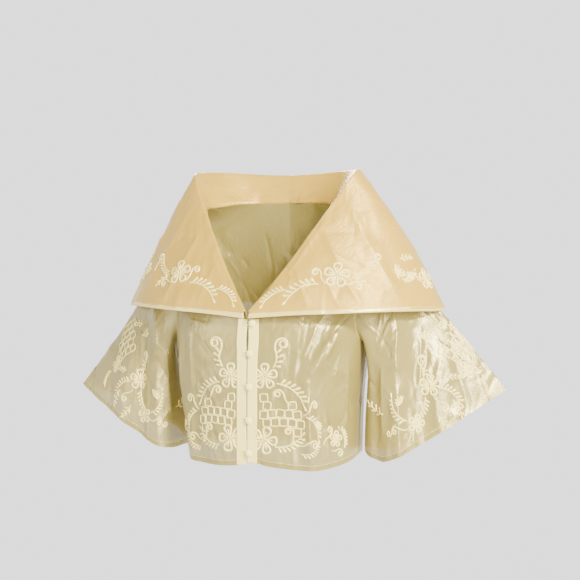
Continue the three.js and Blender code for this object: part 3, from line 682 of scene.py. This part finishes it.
def cloth(
    name, colour, alpha=1.0, rough=0.4, sheen=0.5, gloss=0.0, crumple=0.0, stitched=False, mapped=True
):
    """Cloth or thread: slubs vary its colour, a weave or satin stitches its surface, and crisp
    cloth is crumpled by some metres too."""
    made = bpy.data.materials.new(name)
    made.use_nodes = True
    nodes, links = made.node_tree.nodes, made.node_tree.links
    shader = nodes["Principled BSDF"]
    surface = {
        "Roughness": rough,
        "Alpha": alpha,
        "Sheen Weight": sheen,
        "Sheen Roughness": 0.3,
        "Sheen Tint": (1, 0.85, 0.5, 1),
        "Metallic": gloss,
        "Specular IOR Level": 0.7 if alpha < 1 else 0.4,
    }
    set_inputs(shader, surface)
    if mapped:
        uv = nodes.new("ShaderNodeUVMap")
        uv.uv_map = "cloth"
        place = uv.outputs["UV"]
    else:
        place = nodes.new("ShaderNodeTexCoord").outputs["Object"]

    def stretched_noise(scale, distortion=0.0):
        stretch = add_node(nodes, "Mapping", {"Scale": scale})
        noise = add_node(nodes, "TexNoise", {"Scale": 1.0, "Detail": 3.0, "Distortion": distortion})
        links.new(place, stretch.inputs["Vector"])
        links.new(stretch.outputs["Vector"], noise.inputs["Vector"])
        return noise.outputs["Fac"]

    shade = nodes.new("ShaderNodeMix")
    shade.data_type = "RGBA"
    dark, bright = [c * 0.9 for c in colour], [min(1, c * 1.08) for c in colour]
    set_inputs(shade, {"A": (*dark, 1), "B": (*bright, 1)})
    links.new(stretched_noise((400.0, 14.0, 1.0)), shade.inputs["Factor"])
    links.new(shade.outputs["Result"], shader.inputs["Base Color"])
    if stitched:
        grain = add_node(nodes, "TexWave", {"Scale": 320.0, "Distortion": 0.6})
    else:
        grain = add_node(nodes, "TexNoise", {"Scale": 1100.0})
    links.new(place, grain.inputs["Vector"])
    rise = add_node(nodes, "Bump", {"Strength": 0.4, "Distance": 0.0003})
    links.new(grain.outputs["Fac"], rise.inputs["Height"])
    if crumple:
        swell = add_node(nodes, "Bump", {"Strength": 1.0, "Distance": crumple})
        links.new(stretched_noise((95.0, 38.0, 1.0), 1.6), swell.inputs["Height"])
        links.new(swell.outputs["Normal"], rise.inputs["Normal"])
    links.new(rise.outputs["Normal"], shader.inputs["Normal"])
    return made


organza = cloth("organza", GOLD, alpha=0.92, rough=0.3, sheen=0.08, gloss=0.3, crumple=0.0006)
organza_double = cloth("organza_double", GOLD_DOUBLE, rough=0.42, sheen=0.1, gloss=0.2, crumple=0.0006)
organza_hem = cloth("organza_hem", BAND_GOLD, alpha=0.9, rough=0.3, sheen=0.3, gloss=0.3)
collar_hem = cloth("collar_hem", HEM_GOLD, rough=0.3, sheen=0.3, gloss=0.3)
band_cloth = cloth("band_cloth", BAND_GOLD, rough=0.4, sheen=0.2)
button_cloth = cloth("button_cloth", CREAM, rough=0.4, sheen=0.2, mapped=False)
thread = cloth("thread", THREAD, rough=0.34, sheen=0.1, gloss=0.25, stitched=True)

# Panels, smooth and then creased. The numbers of wrinkles() are counts, seeds, heights and lean.
smooth_panels, panels, rings = {}, {}, set(SLEEVES)
for name, side in FRONTS.items():
    mirror = np.array([side, 1, 1])
    smooth_panels[name] = front_grid(name, side)
    rows = wrinkles(name, (20, 165, -440, -195), (90, 11 + side), (30, 51 + side))
    panels[name] = creased(smooth_panels[name] * mirror, rows) * mirror
smooth_panels["back"] = back_grid()
rows = wrinkles("back", (-160, 160, -440, -60), (110, 5), (60, 55))
panels["back"] = creased(smooth_panels["back"], rows, where="back")
for name in SLEEVES:
    side = SLEEVES[name]["side"]
    mirror = np.array([side, 1, 1])
    smooth_panels[name] = sleeve_grid(name)
    area = (190, 390, -430, -170)
    rows = wrinkles(name + "_front", area, (90, 21 + side), (30, 61 + side))
    grid = creased(smooth_panels[name] * mirror, rows, ring=True, where="front")
    rows = wrinkles(name + "_back", area, (70, 31 + side), (30, 71 + side))
    panels[name] = creased(grid, rows, ring=True, where="back") * mirror
smooth_panels["collar"] = collar_grid()
area = (-280, 280, -175, 40)
rows = wrinkles("collar_front", area, (80, 41, 0.7, 0.7), (70, 81, 1.3))
grid = creased(smooth_panels["collar"], rows, where="front")
rows = wrinkles("collar_back", area, (80, 42, 0.7, 0.7), (70, 82, 1.3))
panels["collar"] = creased(grid, rows, where="back")

shown = {}
for name in (*FRONTS, "back", *SLEEVES):
    shown[name] = skin(name + "_cloth", panels[name], organza, ring=name in rings)
from_edge = lengths(panels["collar"])[..., 0]
from_edge = from_edge[:, -1:] - from_edge
in_hem = (from_edge[:-1, :-1] < COLLAR_HEM_WIDTH).astype(int)
both_cloths = [organza_double, collar_hem]
shown["collar"] = shell("collar_cloth", panels["collar"], COLLAR_THICK, both_cloths, in_hem)
for name, piece in shown.items():
    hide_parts(name)


# Hems and seams


def inset(lines, width, steps=3):
    """Lines that start at an edge, cut off at a width, as points at even distances from the edge."""
    run = np.linalg.norm(np.diff(lines, axis=1), axis=2)
    run = np.concatenate([np.zeros((len(lines), 1)), np.cumsum(run, 1)], 1)
    wanted = np.linspace(0, width, steps + 1)
    return np.array(
        [[np.interp(wanted, far, line[:, a]) for a in range(3)] for far, line in zip(run, lines)]
    ).transpose(0, 2, 1)


def stitches(name, line, out, lift):
    """A row of short raised stitches along a line of points on the cloth."""
    run = run_along(line)
    starts = np.arange(0, run[-1] - STITCH_LENGTH, STITCH_PITCH)
    at = np.stack([starts, starts + STITCH_LENGTH], -1).ravel()
    place = np.stack([np.interp(at, run, line[:, a]) for a in range(3)], -1)
    up = unit(np.stack([np.interp(at, run, out[:, a]) for a in range(3)], -1))
    aside = unit(np.cross(up, np.repeat(place[1::2] - place[::2], 2, axis=0))) * STITCH_WIDTH / 2
    low = place + up * lift
    verts = np.stack([low - aside, low + up * STITCH_WIDTH / 2, low + aside], 1)
    faces = []
    for k in range(0, 3 * len(at), 6):
        faces += [[k, k + 1, k + 4, k + 3], [k + 1, k + 2, k + 5, k + 4]]
    uvs = np.stack([np.repeat(at, 3), np.tile([-1, 0, 1], len(at))], -1) / 1000
    made = make_mesh(name, verts, faces, thread, uvs)
    return made


def edge_normals(grid):
    """Normals of an edge's grid, all on the side away from its middle."""
    out = normals(grid)
    away = (out * (grid - grid.reshape(-1, 3).mean(0))).sum(-1)
    return out * np.sign(np.sign(away).mean())


def strip(name, lines, width, ring=False):
    """A turned edge: a second layer of cloth just inside the first, with its row of stitches."""
    grid = inset(lines, width)
    if ring:
        grid = np.concatenate([grid, grid[:1]])
    out = edge_normals(grid)
    made = skin(name, grid - out * TURNED_IN, organza_hem)
    return [made, stitches(name + "_stitches", grid[:, -1], out[:, -1], STITCHES_ON_SHEER)]


def side_strips(name, hand, rows):
    """The side seam and the armhole of one edge of the body, from rows that start at it."""
    seam = strip(name + "_side_seam" + hand, rows[:UNDERARM_ROW, :SEAM_REACH], SEAM_WIDTH)
    return seam + strip(name + "_armhole" + hand, rows[UNDERARM_ROW:, :SEAM_REACH], SEAM_WIDTH)


trims = {name: [] for name in shown}
for name in (*FRONTS, "back"):
    columns = panels[name].transpose(1, 0, 2)
    trims[name] += strip(name + "_hem", columns[:, :HEM_REACH], HEM_WIDTH)
for name in SLEEVES:
    columns = panels[name].transpose(1, 0, 2)[:, ::-1]
    trims[name] += strip(name + "_hem", columns[:, :HEM_REACH], HEM_WIDTH, ring=True)
for name in FRONTS:
    trims[name] += side_strips(name, "", panels[name][:, ::-1])
    top = panels[name][::-1].transpose(1, 0, 2)
    trims[name] += strip(name + "_shoulder", top[:, :HEM_REACH], SEAM_WIDTH)
for hand, rows in (("_right", panels["back"]), ("_left", panels["back"][:, ::-1])):
    trims["back"] += side_strips("back", hand, rows)
edge = inset(panels["collar"][:, ::-1][:, :SEAM_REACH], COLLAR_HEM_WIDTH)
on_collar = COLLAR_THICK / 2 + ON_DOUBLE
out = edge_normals(edge)
trims["collar"] += [stitches("collar_hem_stitches", edge[:, -1], out[:, -1], on_collar)]


# Embroidery


def sample(grid, at, ring):
    """A grid of vectors at fractional rows and columns."""
    rows, columns = grid.shape[:2]
    j = np.clip(at[:, 0], 0, rows - 1.001)
    i = at[:, 1] % columns if ring else np.clip(at[:, 1], 0, columns - 1.001)
    j0, i0 = np.floor(j).astype(int), np.floor(i).astype(int) % columns
    i1 = (i0 + 1) % columns
    tj, ti = (j - j0)[:, None], (i - np.floor(i))[:, None]
    low = grid[j0, i0] * (1 - ti) + grid[j0, i1] * ti
    high = grid[j0 + 1, i0] * (1 - ti) + grid[j0 + 1, i1] * ti
    return low * (1 - tj) + high * tj


# Right and towards, for whoever looks at each face
FACES = {
    "front": ((1, 0, 0), (0, -1, 0)),
    "back": ((-1, 0, 0), (0, 1, 0)),
    "left": ((0, 1, 0), (1, 0, 0)),
    "right": ((0, -1, 0), (-1, 0, 0)),
}


class Field:
    """One face of a panel that takes embroidery."""

    def __init__(self, panel, face, first=0):
        self.panel, self.ring = panel, panel in rings
        self.right, self.towards = (np.array(way, float) for way in FACES[face])
        self.grid, self.base = panels[panel], smooth_panels[panel]
        out = normals(self.base, self.ring)
        rows, columns = out.shape[:2]
        if self.ring:
            usable = (np.arange(columns) <= columns // 2) == (face == "front")
            self.out = out * np.sign(np.median((out @ self.towards)[:, usable]))
            usable = np.broadcast_to(usable, (rows, columns))
        elif panel == "collar":
            self.out = out * -np.sign(out[rows // 4, -20, 1])
            usable = (self.out @ self.towards > 0.15) & (np.arange(columns) >= first)
        else:
            self.out = out * np.sign(np.median(out @ self.towards))
            usable = np.ones((rows, columns), bool)
        self.lift = on_collar if panel == "collar" else ON_SHEER
        self.indices = np.flatnonzero(usable.ravel())
        self.seen_tree, self.tree = KDTree(len(self.indices)), KDTree(len(self.indices))
        for k, place in enumerate(self.base.reshape(-1, 3)[self.indices]):
            self.seen_tree.insert((place @ self.right, 0, place[2]), k)
            self.tree.insert(place, k)
        self.seen_tree.balance()
        self.tree.balance()

    def start(self, across, z):
        """The place seen at a distance across and at z, with its directions right and up."""
        index = self.indices[self.seen_tree.find((across, 0, z))[1]]
        place, out = self.base.reshape(-1, 3)[index], self.out.reshape(-1, 3)[index]
        right = unit(square_to(self.right, out))
        return place, right, np.cross(out, right)

    def settle(self, points):
        """Rows and columns of the places of the cloth nearest to points."""
        columns = self.base.shape[1]
        near = [self.indices[self.tree.find(p)[1]] for p in points]
        at = np.array([[k // columns, k % columns] for k in near], float)
        row, column = np.array([0.5, 0]), np.array([0, 0.5])
        for _ in range(3):
            dj = sample(self.base, at + row, self.ring) - sample(self.base, at - row, self.ring)
            di = sample(self.base, at + column, self.ring) - sample(self.base, at - column, self.ring)
            off = points - sample(self.base, at, self.ring)
            a, b, c = (dj * dj).sum(-1), (dj * di).sum(-1), (di * di).sum(-1)
            p, q = (off * dj).sum(-1), (off * di).sum(-1)
            det = a * c - b * b + 1e-9
            at = at + np.clip(np.stack([(c * p - b * q) / det, (a * q - b * p) / det], -1), -2, 2)
        return at


def path(heading, length):
    """A curve in the plane in even steps, from the way of each step in degrees clockwise."""
    way = np.radians(heading)
    steps = np.stack([np.sin(way), np.cos(way)], -1) * length / (len(way) - 1)
    return np.concatenate([np.zeros((1, 2)), np.cumsum(steps[:-1], 0)])


def turned(points, degrees):
    """Points of the plane turned clockwise."""
    c, s = math.cos(math.radians(degrees)), math.sin(math.radians(degrees))
    return points @ np.array([[c, -s], [s, c]])


def leaf(at, degrees, length, width=5.8):
    """One padded leaf from a narrow root to a round end, as a stroke: its middle line and widths."""
    t = np.linspace(0, 1, 9)
    end = np.clip((t - 0.68) / 0.32, 0, 0.97)
    return path(degrees + 16 * t, length) + at, width * (0.26 + 0.74 * t) * np.sqrt(1 - end * end)


def leaves(line, places, lean, length):
    """Leaves at places along one side of a line, the middle ones longest."""
    ways = np.degrees(np.arctan2(*np.gradient(line, axis=0).T))
    middle = (len(places) - 1) / 2
    return [
        leaf(line[j], ways[j] + lean, length - 0.8 * abs(k - middle)) for k, j in enumerate(places)
    ]


def curl():
    """A stem in an S that winds up into a spiral."""
    t = np.linspace(0, 1, 46)
    line = path(620 * np.clip((t - 0.15) / 0.85, 0, 1) ** 1.9 - 60 * smooth(t, 0, 0.3), 118)
    return [(line, 2.2 + 1.7 * np.sin(np.pi * t) ** 0.7), leaf(line[-1], 520, 3, 4)]


def plume():
    """A spiral with a fan of leaves along the outer side of its stem."""
    strokes = curl()
    return strokes + leaves(strokes[0][0], range(1, 12, 3), 54, 15)


def flower():
    """Five outlined petals with veins round a ring."""
    strokes = []
    tau = np.linspace(0.15, 2 * np.pi - 0.15, 24)
    up = (1 - np.cos(tau)) / 2
    petal = np.stack([9 * np.sin(tau) * (0.25 + 0.75 * up), 4 + 17.5 * up**0.9], -1)
    for k in range(5):
        strokes.append((turned(petal, 72 * k), np.full(24, 3.8)))
        strokes.append(leaf(turned(np.array([0, 5.0]), 72 * k), 72 * k - 9, 10, 3.6))
    round_ = np.linspace(0, 2 * np.pi, 14)
    strokes.append((2.4 * np.stack([np.cos(round_), np.sin(round_)], -1), np.full(14, 2.4)))
    return strokes


def feather():
    """A bent stem with a row of leaves along its outer side."""
    line = path(-60 * np.linspace(0, 1, 24), 60)
    strokes = [(line, np.linspace(3.1, 2, 24))]
    return strokes + leaves(line, range(2, 22, 3), 46, 15.5) + [leaf(line[-1], -60, 12)]


def sprig():
    """A short stem with pairs of leaves."""
    heading = 30 * np.linspace(0, 1, 16)
    line = path(heading, 34)
    strokes = [(line, np.linspace(2.6, 1.8, 16))]
    for j in (3, 8, 13):
        for lean in (46, -38):
            strokes.append(leaf(line[j], heading[j] + lean, 12 - 0.2 * j, 5))
    return strokes + [leaf(line[-1], heading[-1], 11, 5)]


def fan():
    """Leaves spread from one point."""
    return [leaf(np.array([0, 0]), -66 + 26 * k, 17 - 0.9 * abs(k - 2.5), 5) for k in range(6)]


def net(outline, pitch=14.5, bend=0.0035):
    """Rounded cells that fill an outline, stitched round their edges over whole cloth."""
    outline = np.array(outline, float)
    after = np.roll(outline, -1, 0)
    reach = np.abs(outline).max() + pitch
    strokes = []
    turns = np.linspace(0, 2 * np.pi, 17)
    cell = np.stack([np.cos(turns), np.sin(turns)], -1)
    cell = cell / np.maximum(np.abs(cell).max(1, keepdims=True), 1e-6) ** 0.75
    steps = np.arange(-reach, reach, pitch)
    for row, b in enumerate(steps):
        for a in steps + (row % 2) * pitch * 0.4:
            place = np.array([a, b - bend * a * a])
            crosses = (outline[:, 1] > place[1]) != (after[:, 1] > place[1])
            rise = after[:, 1] - outline[:, 1]
            share = (place[1] - outline[:, 1]) / np.where(rise == 0, 1e-6, rise)
            reached = outline[:, 0] + share * (after[:, 0] - outline[:, 0])
            if (crosses & (place[0] < reached)).sum() % 2:
                size = pitch * 0.485 * rng.uniform(0.94, 1.0, 2)
                strokes.append((turned(cell * size, rng.uniform(-8, 8)) + place, np.full(17, 2.5)))
    return strokes


def embroider(name, field, hand, rows, nets=()):
    """Raised satin strokes on one face of a panel, as one piece. A hand of -1 gives a mirror image."""
    motifs = [(across, z, degrees, size, way, motif()) for motif, across, z, degrees, size, way in rows]
    motifs += [(across, z, degrees, 1, 1, net(outline)) for across, z, degrees, outline in nets]
    strokes = []
    for across, z, degrees, size, way, motif in motifs:
        place, right, up = field.start(across * hand, z)
        for line, widths in motif:
            flat = turned(line * np.array([way, 1]) * size, degrees) * np.array([hand, 1])
            strokes.append((place + flat[:, :1] * right + flat[:, 1:] * up, widths * size**0.4))
    at = field.settle(np.concatenate([line for line, _ in strokes]))
    centre = sample(field.grid, at, field.ring)
    out = unit(sample(field.out, at, field.ring))
    across = np.linspace(-1, 1, 5)
    lift = field.lift + THREAD_HEIGHT * np.sqrt(1 - across**2)[None, :, None]
    verts, faces, uvs = [], [], []
    first = 0
    for line, widths in strokes:
        c, o = centre[first : first + len(line)], out[first : first + len(line)]
        aside = unit(np.cross(o, unit(np.gradient(c, axis=0))))
        ribbon = c[:, None] + aside[:, None] * (widths[:, None] / 2 * across)[..., None] + o[:, None] * lift
        verts.append(ribbon.reshape(-1, 3))
        faces += grid_faces(len(line), 5, start=5 * first)
        far = run_along(c)[:, None]
        uvs.append(np.stack([far + 0 * across, 0 * far + across * 1.5], -1).reshape(-1, 2) / 1000)
        first += len(line)
    made = make_mesh(name, np.concatenate(verts), faces, thread, np.concatenate(uvs))
    return made


# Motifs of each face: the kind, its place across and up, its turn in degrees, its size and its hand.
# A net has its place, its turn and its outline.
FRONT_WORK = [
    (plume, 46, -272, 30, 0.95, 1), (flower, 31, -288, 0, 1.0, 1),
    (feather, 52, -298, 98, 1.0, -1), (curl, 78, -334, -60, 0.66, -1),
    (curl, 96, -352, 62, 0.66, 1), (curl, 86, -404, -40, 0.6, -1),
    (feather, 102, -354, 118, 0.8, -1), (flower, 31, -394, 20, 1.06, 1),
    (feather, 50, -406, 96, 0.85, 1), (curl, 88, -402, 96, 0.62, 1),
    (fan, 118, -372, 60, 0.7, 1), (feather, 94, -418, 92, 0.66, 1),
    (curl, 126, -404, 20, 0.6, -1), (flower, 142, -396, 12, 0.62, 1),
    (curl, 134, -412, 120, 0.55, 1), (feather, 152, -412, 14, 0.6, 1),
]
FRONT_NET = [(-38, 32), (-22, 32), (-18, 8), (4, 8), (22, 16), (46, -16), (38, -36), (22, -38)]
FRONT_NET += [(18, -20), (-6, -20), (-12, -32), (-38, -26)]
FRONT_NETS = [(60, -346, 0, FRONT_NET)]
SLEEVE_WORK = [
    (fan, 279, -226, 0, 1.0, 1), (sprig, 292, -204, 62, 0.9, 1),
    (plume, 280, -288, 4, 0.66, 1), (flower, 291, -304, 0, 0.84, 1),
    (flower, 352, -280, 15, 0.74, 1), (feather, 306, -308, 88, 0.85, -1),
    (feather, 286, -322, 176, 0.72, -1), (curl, 300, -322, 140, 0.6, 1),
    (flower, 274, -368, 10, 0.7, 1), (curl, 262, -376, -110, 0.6, -1),
    (feather, 258, -362, -70, 0.85, -1), (sprig, 220, -354, -80, 1.0, 1),
    (curl, 244, -366, -128, 0.5, 1), (sprig, 330, -326, 128, 0.85, 1),
    (sprig, 306, -352, 150, 0.8, -1), (fan, 250, -330, -60, 0.8, 1),
    (sprig, 320, -292, 60, 0.7, 1), (feather, 368, -294, 120, 0.5, -1),
]
SLEEVE_NETS = [(336, -238, 18, [(-36, 38), (2, 40), (24, 6), (34, -26), (4, -34), (-30, -38)])]
COLLAR_WORK = [
    (flower, 146, -114, 0, 1.0, 1), (curl, 130, -128, -54, 0.62, -1),
    (curl, 156, -130, 96, 0.62, 1), (feather, 120, -130, -92, 1.05, 1),
    (feather, 64, -140, -98, 0.8, 1), (feather, 172, -114, 66, 0.72, 1),
    (sprig, 170, -118, 96, 0.9, 1), (curl, 212, -114, -10, 0.62, 1),
    (fan, 232, -108, 62, 1.0, 1), (sprig, 236, -88, 40, 0.8, 1),
    (feather, 244, -122, 72, 0.6, 1),
]
COLLAR_BACK_WORK = [
    (flower, 46, -112, 0, 0.95, 1), (curl, 32, -118, -62, 0.6, -1),
    (feather, 64, -116, 96, 0.95, -1), (curl, 112, -122, 60, 0.6, 1),
    (flower, 152, -116, 20, 0.9, 1), (feather, 168, -120, 96, 0.9, -1),
    (sprig, 218, -112, 70, 0.9, 1), (curl, 240, -108, 60, 0.5, 1),
    (sprig, 16, -128, -96, 0.6, 1),
]
COLLAR_SIDE_WORK = [
    (flower, 30, -122, 10, 0.9, 1), (curl, 16, -128, -62, 0.6, -1),
    (curl, 44, -128, 64, 0.6, 1), (sprig, -2, -120, -70, 0.85, 1),
    (sprig, 62, -122, 72, 0.85, 1),
]
BACK_WORK = [
    (flower, 62, -388, 0, 1.05, 1), (feather, 78, -392, 84, 0.95, -1),
    (feather, 46, -392, -84, 0.95, 1), (curl, 60, -366, -10, 0.9, -1),
    (sprig, 122, -390, 66, 0.95, 1), (curl, 112, -372, 40, 0.62, 1),
    (curl, 44, -404, 128, 0.55, 1), (feather, 140, -404, 24, 0.8, 1),
]

embroidery = {}
for name, side in FRONTS.items():
    field = Field(name, "front")
    embroidery[name] = [embroider(name + "_embroidery", field, side, FRONT_WORK, FRONT_NETS)]
field = Field("back", "back")
embroidery["back"] = [
    embroider("back_embroidery_right", field, 1, BACK_WORK),
    embroider("back_embroidery_left", field, -1, BACK_WORK),
]
for name in SLEEVES:
    side = SLEEVES[name]["side"]
    shift, drop = SLEEVES[name]["work"]
    rows = [(kind, across + shift, z + drop, *rest) for kind, across, z, *rest in SLEEVE_WORK]
    nets = [(across + shift, z + drop, *rest) for across, z, *rest in SLEEVE_NETS]
    embroidery[name] = [
        embroider(name + "_embroidery_" + face, Field(name, face), way, rows, nets)
        for face, way in (("front", side), ("back", -side))
    ]
embroidery["collar"] = []
for face, work in (("front", COLLAR_WORK), ("back", COLLAR_BACK_WORK)):
    field = Field("collar", face, COLLAR_FALL_FROM)
    for way in (1, -1):
        hand = "left" if (way > 0) == (face == "front") else "right"
        embroidery["collar"].append(embroider("collar_embroidery_" + face + "_" + hand, field, way, work))
for hand, way in (("left", 1), ("right", -1)):
    field = Field("collar", hand, COLLAR_FALL_FROM)
    embroidery["collar"].append(embroider("collar_embroidery_side_" + hand, field, way, COLLAR_SIDE_WORK))

# Bands, buttons and loops
for name, side in (("right", -1), ("left", 1)):
    z = np.linspace(BAND_TOP_Z, read(HEMS, "across", name, 0.03), 160)[::-1, None]
    x = centre_edge(z) + BAND_WIDTH * np.linspace(0, 1, 12)[None, :]
    z = z + x * 0
    lift = fold_height(FOLDS["front_" + name], x, z) + CLOTH_WALL / 2 + SEAM * 1.5 + BAND_THICK / 2
    grid = np.stack([x * side, torso_y(x, z, "front", side) - lift, z], -1)
    band = shell("band_" + name + "_cloth", grid, BAND_THICK, band_cloth)
    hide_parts("band_" + name)
    forward, on_band = np.tile([0.0, -1, 0], (len(grid), 1)), BAND_THICK / 2 + ON_DOUBLE
    rows = [
        stitches("band_" + name + "_stitches_" + hand, grid[:, column], forward, on_band)
        for hand, column in (("inner", 1), ("outer", -2))
    ]
for name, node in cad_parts.items():
    if name.startswith(("button", "loop")):
        node.data.materials.clear()
        node.data.materials.append(button_cloth)

# Floor, shoulder height below the origin
floor_mesh = bpy.data.meshes.new("floor")
turns = [2 * math.pi * k / FLOOR_SIDES for k in range(FLOOR_SIDES)]
rim = [(FLOOR_RADIUS * math.cos(turn), FLOOR_RADIUS * math.sin(turn), FLOOR_Z) for turn in turns]
floor_mesh.from_pydata(rim, [], [list(range(FLOOR_SIDES))])
pale = bpy.data.materials.new("floor_paint")
pale.use_nodes = True
paint = pale.node_tree.nodes["Principled BSDF"]
set_inputs(paint, {"Base Color": (0.52, 0.52, 0.515, 1), "Roughness": 0.9})
floor_mesh.materials.append(pale)
floor = link("floor", floor_mesh)

# Camera and light
camera_data = bpy.data.cameras.new("camera")
camera_data.sensor_width = SENSOR
camera_data.lens = SENSOR * FOCAL_PIXELS / PICTURE_PIXELS
camera_data.clip_end = 20
camera = link("camera", camera_data)
cos, sin = math.cos(math.radians(CAMERA_TURN)), math.sin(math.radians(CAMERA_TURN))
eye = (CAMERA_DISTANCE * sin, -CAMERA_DISTANCE * cos, CAMERA_Z)
aim_z = CAMERA_Z - CAMERA_DISTANCE * math.tan(math.radians(CAMERA_DROP))
aim = (AIM_ASIDE * cos, AIM_ASIDE * sin, aim_z)


def look(thing, place, target):
    thing.location = place
    way = Vector(target) - Vector(place)
    thing.rotation_mode = "QUATERNION"
    thing.rotation_quaternion = way.to_track_quat("-Z", "Y")


look(camera, eye, aim)
bpy.context.scene.camera = camera


def lamp(name, place, width, height, power, colour=(1, 1, 1)):
    data = bpy.data.lights.new(name, "AREA")
    data.shape = "ELLIPSE"
    data.size, data.size_y = width, height
    data.energy = power
    data.color = colour
    look(link(name, data), place, (0, 0, -0.18))


lamp("key", (1.9, -1.6, 1.5), 0.5, 0.5, 250, (1, 0.97, 0.92))
lamp("strip", (1.75, -1.7, 0.0), 0.36, 2.2, 100, (1, 0.98, 0.93))
lamp("fill", (-1.9, -1.6, 0.2), 1.3, 1.6, 20)
lamp("rim", (-1.2, 1.7, 1.3), 0.5, 0.5, 140)

world = bpy.data.worlds.new("studio")
bpy.context.scene.world = world
world.use_nodes = True
nodes, links = world.node_tree.nodes, world.node_tree.links
direction, split, height = [add_node(nodes, kind) for kind in ("TexCoord", "SeparateXYZ", "Math")]
height.operation = "ABSOLUTE"
levels = {"From Min": 0.36, "From Max": 0.6, "To Min": 2.1, "To Max": 0.45}
fade = add_node(nodes, "MapRange", levels)
links.new(direction.outputs["Generated"], split.inputs["Vector"])
links.new(split.outputs["Z"], height.inputs[0])
links.new(height.outputs["Value"], fade.inputs["Value"])
links.new(fade.outputs["Result"], nodes["Background"].inputs["Strength"])
set_inputs(nodes["Background"], {"Color": (1, 1, 1, 1)})
